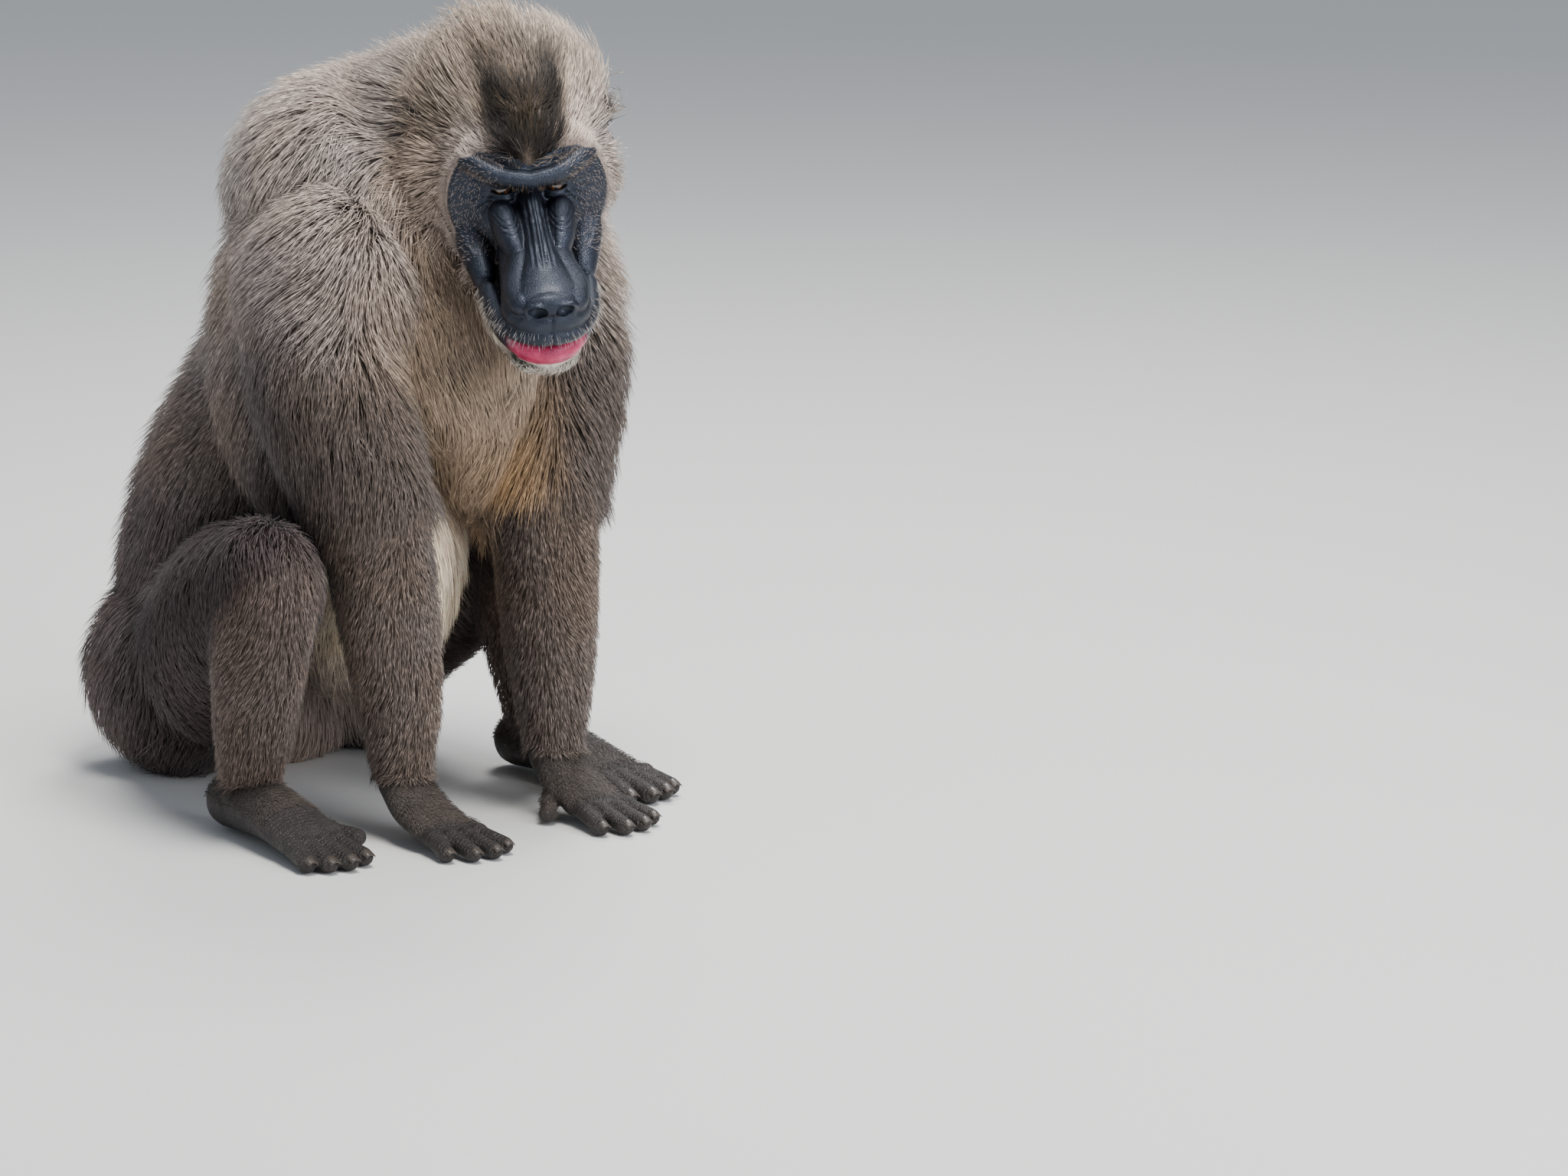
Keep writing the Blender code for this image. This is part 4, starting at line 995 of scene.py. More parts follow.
def choose_wisps(r):
    """For each tuft, the tuft that leads its wisp."""
    cells = np.floor(r.points / np.maximum(r.spacing, 0.003)[:, None]).astype(int)
    keys = cells[:, 0] * 73856093 ^ cells[:, 1] * 19349663 ^ cells[:, 2] * 83492791
    _, leaders = np.unique(keys, return_index=True)
    tree = kdtree.KDTree(len(leaders))
    for k, i in enumerate(leaders):
        tree.insert(r.points[i], k)
    tree.balance()
    return leaders[np.array([tree.find(p)[1] for p in r.points])]


STIFFNESS = 0.5  # how far a tuft keeps straight where the skin bends away under it
ROOT_DEPTH = 0.0015


def comb(r, tree, most):
    """Each tuft's path from its root, along the skin and rising from it."""
    count = len(r.points)
    paths = np.empty((count, most + 1, 3))
    ups = np.empty((count, most + 1, 3))
    where, normal = r.points.copy(), r.normals.copy()
    paths[:, 0] = where - normal * ROOT_DEPTH
    ups[:, 0] = normal
    for k in range(1, most + 1):
        live = np.nonzero(r.steps >= k)[0]
        along = r.lie[live] - normal[live] * (r.lie[live] * normal[live]).sum(1)[:, None]
        goals = where[live] + unit(along) * (r.length[live] / r.steps[live])[:, None]
        found = [tree.find_nearest(goal) for goal in goals.tolist()]
        fresh = np.array([side[:] for _, side, _, _ in found])
        normal[live] = unit(normal[live] * 0.4 + fresh * 0.6)
        near = np.array([place[:] for place, _, _, _ in found])
        off = goals - near
        outward = (off * normal[live]).sum(1) > 0
        where[live] = near + off * (STIFFNESS * outward)[:, None]
        rise = (k / r.steps[live]) ** 0.8
        paths[live, k] = where[live] + normal[live] * (r.height[live] * rise)[:, None]
        ups[live, k] = normal[live]
    for steps in range(2, most):
        mine = r.steps == steps
        for k in range(steps + 1, most + 1):
            paths[mine, k] = paths[mine, steps]
            ups[mine, k] = ups[mine, steps]
    return paths, ups


def gather(r, paths, leaders, most):
    """Draws each tuft towards the leader of its wisp, more so at the tip."""
    same = r.steps == r.steps[leaders]
    for k in range(1, most + 1):
        share = np.clip(k / r.steps, 0, 1)
        pull = (r.pull * share ** 1.2 * same)[:, None]
        paths[:, k] += (paths[leaders, k] - paths[:, k]) * pull


# Share of its full width at each ring of a tuft, by its number of stretches, and its triangles
WIDTHS = {2: (1.0,), 3: (1.0, 0.70)}
TRIANGLES = {2: 6, 3: 12}
SOFTNESS = 0.62  # how far a blade is shaded as the surface that it lies on
RIDGE = 0.4  # how far a blade's two lower edges lie under its middle, for its half-width
BAND_LENGTH = 0.011  # of one dark and one pale band of a hair
PATCH = 0.003  # a tuft's width and height in OFBake


def dressed(mesh, faces, along, around, chance, tint, band, bake, finish):
    """The mesh of many tufts of one shape, as an object with its finish, colours and places in OFBake."""
    strand = np.empty((len(chance), len(along), 3))
    strand[:, :, 0] = along
    strand[:, :, 1] = chance[:, None]
    strand[:, :, 2] = around
    write_attribute(mesh, "strand", "FLOAT_VECTOR", strand)
    write_attribute(mesh, "tint", "FLOAT_COLOR", np.repeat(tint, len(along), axis=0))
    write_attribute(mesh, "band", "FLOAT_VECTOR", band)
    places = bake[:, None] + np.stack((around - 0.5, along - 0.5), axis=1)[None] * PATCH
    uv = mesh.uv_layers.new(name="OFBake")
    uv.data.foreach_set("uv", places.reshape(-1, 2)[faces.ravel()].astype(np.float32).ravel())
    mesh.materials.append(finish)
    return linked(mesh.name, mesh)


def ring_sides(ring):
    """The six triangles from one ring of three points to the next."""
    found = []
    for j in range(3):
        a, b = ring + j, ring + (j + 1) % 3
        found += [(a, b + 3, b), (a, a + 3, b + 3)]
    return found


def tuft_mesh(name, r, paths, ups, mine, steps, finish):
    """The tufts in mine as one object, each a three-sided blade of so many stretches, pointed at both ends."""
    path, up = paths[mine], ups[mine]
    count, rings = len(mine), steps - 1
    width = r.width[mine] * r.vary[mine]
    corners, sides = np.empty((2, count, rings, 3, 3))
    for k in range(1, steps):
        forward = unit(path[:, k + 1] - path[:, k - 1])
        aside = unit(np.cross(forward, up[:, k]))
        above = np.cross(aside, forward)
        half = (width * WIDTHS[steps][k - 1] * 0.5)[:, None]
        for j, way in enumerate((-aside - above * RIDGE, aside - above * RIDGE, above)):
            corners[:, k - 1, j] = path[:, k] + way * half
            sides[:, k - 1, j] = way
    points = np.concatenate((path[:, :1], corners.reshape(count, -1, 3), path[:, steps:steps + 1]), axis=1)
    shading = np.repeat(up[:, 1:steps], 3, axis=1) * SOFTNESS
    shading = shading + unit(sides.reshape(count, -1, 3)) * (1 - SOFTNESS)
    shading = np.concatenate((up[:, :1], shading, up[:, steps:steps + 1]), axis=1)
    each, tip = points.shape[1], points.shape[1] - 1
    faces = [(0, 1, 2), (0, 2, 3), (0, 3, 1)]
    for k in range(rings - 1):
        faces += ring_sides(1 + 3 * k)
    faces += [(tip - 2, tip - 3, tip), (tip - 1, tip - 2, tip), (tip - 3, tip - 1, tip)]
    faces = (np.array(faces)[None] + (np.arange(count) * each)[:, None, None]).reshape(-1, 3)
    mesh = mesh_of(name, points.reshape(-1, 3), faces)
    mesh.normals_split_custom_set_from_vertices(unit(shading).reshape(-1, 3).tolist())
    along = np.concatenate(((0.0,), np.repeat(np.arange(1, steps) / steps, 3), (1.0,)))
    around = np.concatenate(((0.5,), np.tile((0.0, 1.0, 0.5), rings), (0.5,)))
    phase = along[None] * (r.length[mine] / BAND_LENGTH)[:, None] + r.chance[mine][:, None] * 3
    band = np.dstack((phase, np.repeat(r.banding[mine, None], each, 1), phase * 0))
    return dressed(mesh, faces, along, around, r.chance[mine], r.tint[mine], band, r.bake[mine], finish)


# Each coat piece: the regions that it covers
COAT_PIECES = {
    "hair_crown": ("crest", "ear"),
    "hair_ruff": ("ruff", "rim"),
    "hair_chin": ("chin", "stubble"),
    "hair_mantle": ("mantle", "nape"),
    "hair_chest": ("chest", "belly"),
    "hair_flanks": ("flank", "tail"),
    "hair_arms": ("arm",),
    "hair_forearms": ("forearm", "back_of_hand"),
    "hair_thighs": ("thigh",),
    "hair_shins": ("shin",),
}
PIECE_LIMIT = 190000

# Rectangles of the unwrapped skin: left, bottom, width and height, and the regions on each
SHEETS = {
    "head": ((0.02, 0.52, 0.46, 0.46), ("bare", "stubble", "crest", "ruff", "rim", "chin", "ear")),
    "trunk": ((0.02, 0.02, 0.46, 0.46), ("mantle", "chest", "belly", "flank", "nape")),
    "arm": ((0.52, 0.52, 0.22, 0.46), ("arm", "forearm")),
    "leg": ((0.76, 0.52, 0.22, 0.46), ("thigh", "shin")),
    "rest": ((0.52, 0.02, 0.46, 0.46), ("back_of_hand", "tail")),
}


def turn_of(x, y):
    """Share of a full turn, 0 to 1."""
    return np.arctan2(x, y) / (2 * math.pi) + 0.5


def unwrap(points, in_head, region, around):
    """Places on the unwrapped skin: each part is rolled out round its own middle line."""
    x, y, z = points.T
    names = np.array(REGIONS)[region]
    limb = turn_of(x - np.sign(x) * 0.1, y + 0.12) * 0.5 + (x > 0) * 0.5
    shares = {
        "head": (turn_of(in_head[:, 0], -(in_head[:, 1] - 0.05)), (in_head[:, 2] + 0.12) / 0.22),
        "trunk": (around / (2 * math.pi) + 0.5, z / 0.65),
        "arm": (limb, z / 0.5),
        "leg": (limb, z / 0.3),
        "rest": (x / 0.5 + 0.5, y / 0.6 + 0.5),
    }
    place = np.zeros((len(points), 2))
    for sheet, ((left, low, wide, high), members) in SHEETS.items():
        mine = np.isin(names, members)
        u, v = (np.clip(share[mine], 0, 1) for share in shares[sheet])
        place[mine] = np.column_stack((left + wide * u, low + high * v))
    return place


def make_coat(f, tree, finishes):
    """All coat pieces, as objects."""
    chance = np.random.default_rng(SEED)
    r = place_roots(f, chance)
    count = len(r.points)
    r.chance = chance.random(count)
    r.vary = chance.uniform(0.75, 1.3, count)
    r.tint[r.region == CODE["stubble"]] = TINTS["stubble"]
    r.bake = unwrap(r.points, r.in_head, r.region, r.around)
    under = chance.random(count) < 0.30
    r.length = r.length * chance.uniform(0.70, 1.15, count) * np.where(under, 0.65, 1.0)
    r.height = r.height * chance.uniform(0.70, 1.06, count) * np.where(under, 0.6, 1.0)
    r.lie = r.lie + 0.20 * sway(r.points, 0.09, 1) + 0.12 * sway(r.points, 0.03, 2)
    r.lie = unit(r.lie + chance.normal(size=(count, 3)) * 0.13)
    leaders = choose_wisps(r)
    lift = chance.uniform(0.88, 1.12, count)
    r.height *= lift[leaders]
    most = max(WIDTHS)
    paths, ups = comb(r, tree, most)
    gather(r, paths, leaders, most)
    paths[:, 1:] += chance.normal(size=(count, most, 3)) * (r.width * 0.45)[:, None, None]
    paths[:, :, 2] = np.maximum(paths[:, :, 2], LOWEST_HAIR)
    names = np.array(REGIONS)[r.region]
    pieces = []
    for piece, members in COAT_PIECES.items():
        for steps in WIDTHS:
            mine = np.nonzero(np.isin(names, members) & (r.steps == steps))[0]
            if not len(mine):
                continue
            mine = mine[np.argsort(r.points[mine, 0])]
            parts = math.ceil(len(mine) * TRIANGLES[steps] / PIECE_LIMIT)
            for k, group in enumerate(np.array_split(mine, parts)):
                label = f"{piece}_{steps}" + (f"_{k + 1}" if parts > 1 else "")
                finish = finishes["chin"] if piece == "hair_chin" else finishes["coat"]
                pieces.append(tuft_mesh(label, r, paths, ups, group, steps, finish))
    return pieces


# Finishes


def new_group(name, inputs, outputs):
    """A node group with named sockets: (name, kind, default) for each input, (name, kind) for each output."""
    group = bpy.data.node_groups.new(name, "ShaderNodeTree")
    for label, kind, default in inputs:
        socket = group.interface.new_socket(label, in_out="INPUT", socket_type="NodeSocket" + kind)
        if default is not None:
            socket.default_value = default
    for label, kind in outputs:
        group.interface.new_socket(label, in_out="OUTPUT", socket_type="NodeSocket" + kind)
    return group


def set_inputs(tree, inputs, values):
    """Links or sets inputs, each by its name or number."""
    for key, value in values.items():
        if isinstance(value, bpy.types.NodeSocket):
            tree.links.new(value, inputs[key])
        else:
            inputs[key].default_value = value


def node(tree, kind, values=None, **settings):
    """A node of the kind with its settings, and its inputs linked or set by name or number."""
    made = tree.nodes.new("ShaderNode" + kind)
    for key, value in settings.items():
        setattr(made, key, value)
    set_inputs(tree, made.inputs, values or {})
    return made


def maths(tree, operation, a, b=0.0):
    return node(tree, "Math", {0: a, 1: b}, operation=operation).outputs[0]


def noise(tree, place, scale, detail, roughness=0.5):
    values = {"Vector": place, "Scale": scale, "Detail": detail, "Roughness": roughness}
    return node(tree, "TexNoise", values).outputs["Fac"]


def object_place(tree):
    return node(tree, "TexCoord").outputs["Object"]


def ramp(tree, factor, stops):
    """A colour ramp: stops are (place, grey or colour)."""
    made = node(tree, "ValToRGB", {"Fac": factor})
    elements = made.color_ramp.elements
    while len(elements) < len(stops):
        elements.new(0.5)
    for element, (place, value) in zip(elements, stops):
        element.position = place
        element.color = (value, value, value, 1) if isinstance(value, float) else (*value, 1)
    return made.outputs["Color"]


def mixed(tree, factor, a, b, blend="MIX"):
    """Mix of two colours: each a socket or an (r, g, b)."""
    a, b = ((*value, 1) if isinstance(value, tuple) else value for value in (a, b))
    return node(tree, "Mix", {0: factor, 6: a, 7: b}, data_type="RGBA", blend_type=blend).outputs[2]


def times(tree, a, b):
    """Product of two colours."""
    return mixed(tree, 1.0, a, b, "MULTIPLY")


def agouti_group():
    """Hair banded dark, pale and dark from root to tip, darker towards the root partly as painted shade, each
    strand a little different.
    """
    group = new_group(
        "Agouti Banding",
        (
            ("Tint", "Color", (0.2, 0.2, 0.2, 1)), ("Along", "Float", 0.0), ("Chance", "Float", 0.5),
            ("Band", "Float", 0.0), ("Banding", "Float", 0.5),
        ),
        (("Color", "Color"), ("Roughness", "Float")),
    )
    source = group.nodes.new("NodeGroupInput").outputs
    sink = group.nodes.new("NodeGroupOutput").inputs
    place = object_place(group)
    # Darker at the root, lighter at the tip: partly the hair's own darker base, partly painted shade deep in
    # the coat
    depth = ramp(group, source["Along"], ((0.0, 0.52), (0.35, 0.88), (0.7, 1.06), (1.0, 1.20)))
    phase = maths(group, "FRACT", source["Band"])
    bands = ramp(group, phase, ((0.0, 0.62), (0.42, 0.66), (0.60, 1.55), (0.76, 1.50), (0.92, 0.64)))
    flat = times(group, mixed(group, source["Banding"], (1.0, 1.0, 1.0), bands), depth)
    patches = ramp(group, noise(group, place, 34.0, 4.0, 0.6), ((0.3, 0.82), (0.5, 1.0), (0.72, 1.14)))
    wide = ramp(group, noise(group, place, 9.0, 2.0), ((0.38, 0.0), (0.66, 1.0)))
    warm = mixed(group, wide, (1.04, 1.0, 0.95), (0.95, 0.99, 1.07))
    own = node(group, "TexWhiteNoise", {"W": source["Chance"]}, noise_dimensions="1D").outputs["Value"]
    own = ramp(group, own, ((0.0, 0.72), (0.5, 0.98), (0.9, 1.22), (1.0, 1.6)))
    colour = times(group, source["Tint"], flat)
    for shade in (patches, warm, own):
        colour = times(group, colour, shade)
    rough = node(group, "Math", {0: own, 1: 0.10, 2: 0.50}, operation="MULTIPLY_ADD").outputs[0]
    set_inputs(group, sink, {"Color": colour, "Roughness": rough})
    return group


def grain_group():
    """Pebbled and creased skin: cells, the creases between them and fine grain."""
    group = new_group(
        "Skin Grain",
        (("Scale", "Float", 400.0), ("Creases", "Float", 0.5), ("Fine", "Float", 0.3)),
        (("Height", "Float"), ("Crease", "Float"), ("Mottle", "Float")),
    )
    source = group.nodes.new("NodeGroupInput").outputs
    sink = group.nodes.new("NodeGroupOutput").inputs
    place = object_place(group)
    bend = node(group, "TexNoise", {"Vector": place, "Scale": 60.0, "Detail": 3.0}).outputs["Color"]
    bent = node(group, "VectorMath", {0: bend, 3: 0.006}, operation="SCALE").outputs[0]
    bent = node(group, "VectorMath", {0: place, 1: bent}, operation="ADD").outputs[0]
    cells = node(group, "TexVoronoi", {"Vector": bent, "Scale": source["Scale"]}, feature="DISTANCE_TO_EDGE")
    pebble = ramp(group, cells.outputs["Distance"], ((0.0, 0.0), (0.10, 0.55), (0.40, 1.0)))
    fine = noise(group, place, maths(group, "MULTIPLY", source["Scale"], 4.0), 3.0)
    coarse = maths(group, "MULTIPLY", pebble, source["Creases"])
    height = maths(group, "ADD", coarse, maths(group, "MULTIPLY", fine, source["Fine"]))
    mottle = noise(group, place, 70.0, 5.0, 0.65)
    set_inputs(group, sink, {"Height": height, "Crease": pebble, "Mottle": mottle})
    return group


def new_finish(name, **fixed):
    """A material with its tree and shader, the shader's fixed values set on its own sockets."""
    made = bpy.data.materials.new(name)
    made.use_nodes = True
    shader = made.node_tree.nodes["Principled BSDF"]
    for key, value in fixed.items():
        shader.inputs[key.replace("_", " ")].default_value = value
    return made, made.node_tree, shader


def give(tree, shader, colour, rough, height, strength, distance):
    """Gives the shader a colour and a roughness, and a height as its bump."""
    bump = node(tree, "Bump", {"Height": height, "Strength": strength, "Distance": distance}).outputs[0]
    set_inputs(tree, shader.inputs, {"Base Color": colour, "Roughness": rough, "Normal": bump})


def placed(tree, group, values):
    made = tree.nodes.new("ShaderNodeGroup")
    made.node_tree = group
    set_inputs(tree, made.inputs, values)
    return made.outputs


def attribute(tree, name, output="Color"):
    return node(tree, "Attribute", attribute_name=name).outputs[output]


def parts_of(tree, name):
    """The three parts of a vector attribute."""
    return node(tree, "SeparateXYZ", {0: attribute(tree, name, "Vector")}).outputs


def hair_finish(name, agouti, brighten):
    """Hair: banded colour on each tuft, a fine streak along it and a soft sheen."""
    made, tree, shader = new_finish(name, Specular_IOR_Level=0.24, Sheen_Weight=0.10, Sheen_Roughness=0.5)
    along, chance, around = parts_of(tree, "strand")
    phase, banding = parts_of(tree, "band")[:2]
    coat = placed(tree, agouti, {
        "Tint": attribute(tree, "tint"), "Along": along, "Chance": chance, "Band": phase, "Banding": banding})
    spread = node(tree, "CombineXYZ", {
        0: maths(tree, "MULTIPLY", chance, 90.0), 1: maths(tree, "MULTIPLY", around, 3.0), 2: along})
    streak = noise(tree, spread.outputs[0], 2.2, 2.0)
    streaks = ramp(tree, streak, ((0.30, 0.80 * brighten), (0.52, 1.0 * brighten), (0.72, 1.22 * brighten)))
    give(tree, shader, times(tree, coat["Color"], streaks), coat["Roughness"], streak, 0.3, 0.0004)
    return made


def under_coat_finish(agouti):
    """Skin under the hair: in the coat's own colours, darkened as painted shade under the hair, with short fur
    as bump.
    """
    made, tree, shader = new_finish("under_coat", Specular_IOR_Level=0.15)
    combed = node(tree, "Mapping", {"Vector": object_place(tree), "Scale": (1.0, 1.0, 0.22)}).outputs[0]
    fur = noise(tree, combed, 900.0, 4.0, 0.7)
    coat = placed(tree, agouti, {
        "Tint": attribute(tree, "tint"), "Along": ramp(tree, fur, ((0.35, 0.0), (0.65, 0.6))),
        "Chance": fur, "Band": maths(tree, "MULTIPLY", fur, 5.0), "Banding": 0.5})
    # Painted shade: the coat's colour darkened where it lies under the tufts
    deep = times(tree, coat["Color"], (0.74, 0.72, 0.72))
    give(tree, shader, deep, 0.9, fur, 0.8, 0.0012)
    return made


def face_finish(grain):
    """Bare black face with a blue-grey gloss and a painted blue-grey sheen in its mottle, pebbled, the lower
    lip pink.
    """
    made, tree, shader = new_finish(
        "face_skin", Specular_IOR_Level=0.55, Specular_Tint=(0.62, 0.74, 1.0, 1), Coat_Roughness=0.28)
    relief = placed(tree, grain, {"Scale": 620.0, "Creases": 0.55, "Fine": 0.35})
    mottle = relief["Mottle"]
    # Mottled from near-black to dark blue-grey: the blue-grey is a painted sheen spread at random, which gives
    # way to plain dark grey in the creases
    black = ramp(tree, mottle, ((0.32, paint(8, 8, 12)), (0.55, paint(12, 13, 20)), (0.75, paint(20, 23, 36))))
    creases = ramp(tree, relief["Crease"], ((0.0, 0.75), (0.6, 0.0)))
    black = mixed(tree, creases, black, paint(13, 13, 15))
    pink = ramp(tree, mottle, (
        (0.30, paint(128, 20, 52)), (0.55, paint(184, 42, 82)), (0.78, paint(212, 92, 124))))
    colour = mixed(tree, attribute(tree, "soft_bare", "Fac"), attribute(tree, "tint"), black)
    colour = mixed(tree, attribute(tree, "lip", "Fac"), colour, pink)
    gloss = ramp(tree, mottle, ((0.30, 0.42), (0.70, 0.30)))
    tree.links.new(ramp(tree, mottle, ((0.35, 0.06), (0.65, 0.22))), shader.inputs["Coat Weight"])
    give(tree, shader, colour, gloss, relief["Height"], 0.55, 0.0007)
    return made


def digit_finish(grain):
    """Bare dark skin of hands, feet and ears, with knuckle creases and painted shade in its fine creases."""
    made, tree, shader = new_finish("digit_skin")
    relief = placed(tree, grain, {"Scale": 480.0, "Creases": 0.7, "Fine": 0.3})
    wave = {"Vector": object_place(tree), "Scale": 70.0, "Distortion": 6.0, "Detail": 2.0}
    folds = node(tree, "TexWave", wave, bands_direction="Y").outputs["Fac"]
    tone = ramp(tree, relief["Mottle"], ((0.30, 0.55), (0.52, 1.0), (0.75, 1.6)))
    # Painted shade: the fine creases are mixed towards a darker colour
    creases = ramp(tree, relief["Crease"], ((0.0, 0.6), (0.5, 0.0)))
    colour = mixed(tree, creases, times(tree, attribute(tree, "tint"), tone), paint(20, 17, 16))
    rough = ramp(tree, relief["Mottle"], ((0.3, 0.66), (0.7, 0.48)))
    height = maths(tree, "ADD", relief["Height"], maths(tree, "MULTIPLY", folds, 0.5))
    give(tree, shader, colour, rough, height, 0.9, 0.0012)
    return made


def nail_finish():
    made, tree, shader = new_finish("nail_horn")
    ridges = node(tree, "Mapping", {"Vector": object_place(tree), "Scale": (1.0, 0.08, 1.0)}).outputs[0]
    grooves = noise(tree, ridges, 1500.0, 2.0)
    tone = ramp(tree, grooves, ((0.3, paint(38, 33, 30)), (0.6, paint(70, 62, 56)), (0.8, paint(98, 88, 78))))
    give(tree, shader, tone, ramp(tree, grooves, ((0.3, 0.30), (0.7, 0.44))), grooves, 0.3, 0.0003)
    return made


def eye_finish():
    """Wet eye: black pupil, brown iris with fine spokes, dark rim and brown white of the eye."""
    made, tree, shader = new_finish("eye_wet", Coat_Weight=1.0, Coat_Roughness=0.02, Specular_IOR_Level=0.6)
    angle, east, north = parts_of(tree, "eye_place")
    spokes = node(tree, "CombineXYZ", {
        0: maths(tree, "MULTIPLY", east, 14.0), 1: maths(tree, "MULTIPLY", north, 14.0)})
    fibre = noise(tree, spokes.outputs[0], 2.0, 3.0)
    iris = ramp(tree, fibre, ((0.30, paint(42, 22, 9)), (0.55, paint(84, 46, 20)), (0.75, paint(126, 78, 36))))
    ball = ramp(tree, fibre, ((0.3, paint(38, 28, 23)), (0.7, paint(62, 48, 40))))
    colour = mixed(tree, ramp(tree, angle, ((0.155, 0.0), (0.180, 1.0))), iris, ball)
    rim = ramp(tree, angle, ((0.12, 0.0), (0.155, 0.9), (0.185, 0.7), (0.23, 0.0)))
    colour = mixed(tree, rim, colour, paint(14, 9, 7))
    colour = mixed(tree, ramp(tree, angle, ((0.052, 1.0), (0.062, 0.0))), colour, (0.001, 0.001, 0.001))
    rough = ramp(tree, fibre, ((0.3, 0.10), (0.7, 0.16)))
    set_inputs(tree, shader.inputs, {"Base Color": colour, "Roughness": rough})
    return made


# Eyes, nails, whiskers

CORNEA_RISE, CORNEA_ANGLE = 0.075, 0.60
EYE_SHARE = 0.965  # of the socket's radius
NAIL_TURN, NAIL_THICKNESS, NAIL_LAST = 1.9, 0.0011, 6
BRISTLE_STATIONS = ((0.0, 1), (0.4, 0.8), (0.75, 0.5))  # share of the length, and of the radius there
BRISTLE_DROOP = Vector((0, 0, -0.15))
THIRD_TURN = 2.094


def make_eye(side, finish):
    """An eyeball with a raised cornea, looking a little down and ahead."""
    bm = bmesh.new()
    bmesh.ops.create_uvsphere(bm, u_segments=48, v_segments=48, radius=1)
    places = []
    for vert in bm.verts:
        angle = math.acos(max(-1, min(1, vert.co.z)))
        bulge = CORNEA_RISE * max(0.0, 1 - (angle / CORNEA_ANGLE) ** 2)
        off = math.hypot(vert.co.x, vert.co.y) + 1e-6
        places.append((angle / math.pi, vert.co.x / off, vert.co.y / off))
        vert.co *= (1 + bulge) * EYE[1] * EYE_SHARE
    eye = as_object("eyeball_" + ("left" if side > 0 else "right"), bm, finish)
    write_attribute(eye.data, "eye_place", "FLOAT_VECTOR", np.array(places))
    gaze = Vector((0.05 * side, -1, -0.08)).to_track_quat("Z", "Y").to_matrix().to_4x4()
    centre = Matrix.Translation((EYE[0][0] * side, EYE[0][1], EYE[0][2]))
    eye.data.transform(head_matrix() @ centre @ gaze)
    eye.data.shade_smooth()
    return eye


def add_nail(bm, tip, ahead, radius):
    """A small arched plate on the top of a digit's end."""
    last = NAIL_LAST
    grid = []
    for i in range(last + 1):
        t = i / last
        wide = radius * (0.92 - 0.22 * t * t)
        rise = radius * (0.93 + 0.07 * math.sin(t * math.pi)) - radius * 0.35 * t * t
        centre = tip + ahead * radius * (1.75 * t - 0.55)
        turns = [(j / last - 0.5) * NAIL_TURN for j in range(last + 1)]
        places = [centre + Vector((wide * math.sin(turn), 0, rise * math.cos(turn))) for turn in turns]
        grid.append([bm.verts.new(place) for place in places])
    lower = [[bm.verts.new(v.co - Vector((0, 0, NAIL_THICKNESS))) for v in row] for row in grid]
    for rows, way in ((grid, 1), (lower, -1)):
        for a, b in zip(rows, rows[1:]):
            for j in range(last):
                bm.faces.new((a[j], a[j + 1], b[j + 1], b[j])[::way])
    edge = [(0, j) for j in range(last + 1)] + [(i, last) for i in range(1, last + 1)]
    edge += [(last, j) for j in range(last - 1, -1, -1)] + [(i, 0) for i in range(last - 1, 0, -1)]
    for (i, j), (m, n) in zip(edge, edge[1:] + edge[:1]):
        bm.faces.new((grid[i][j], lower[i][j], lower[m][n], grid[m][n]))


def make_nails(finish):
    bm = bmesh.new()
    for side in (1, -1):
        middle, front = PALM[-1][0], PALM[-1][1]
        for spread, length in zip(FINGER_SPREAD, FINGER_LENGTH):
            tip = Vector(((middle + spread * 1.25) * side + ELBOW_SWAY, front - length, 0.0075))
            add_nail(bm, tip, Vector((0, -1, -0.10)), FINGER_RADIUS * 0.94)
        aside, back = FOOT_SHIFT[side]
        middle, front = SOLE[-1][0], SOLE[-1][1]
        for spread, length in zip(TOE_SPREAD, TOE_LENGTH):
            tip = Vector(((middle + spread * 1.2 + aside) * side, front - length + back, 0.0082))
            add_nail(bm, tip, Vector((0, -1, -0.10)), TOE_RADIUS * 0.96)
    return as_object("nails", bm, finish)


def bristle_points(root, direction, length, radius, droop):
    """Points of one bristle: three rings of three and a tip."""
    aside = direction.orthogonal().normalized()
    other = direction.cross(aside)
    points = []
    for share, wide in BRISTLE_STATIONS:
        centre = root + direction * length * share + droop * share * share * length
        for j in range(3):
            turn = j * THIRD_TURN
            points.append(centre + (aside * math.cos(turn) + other * math.sin(turn)) * radius * wide)
    return points + [root + direction * length + droop * length]


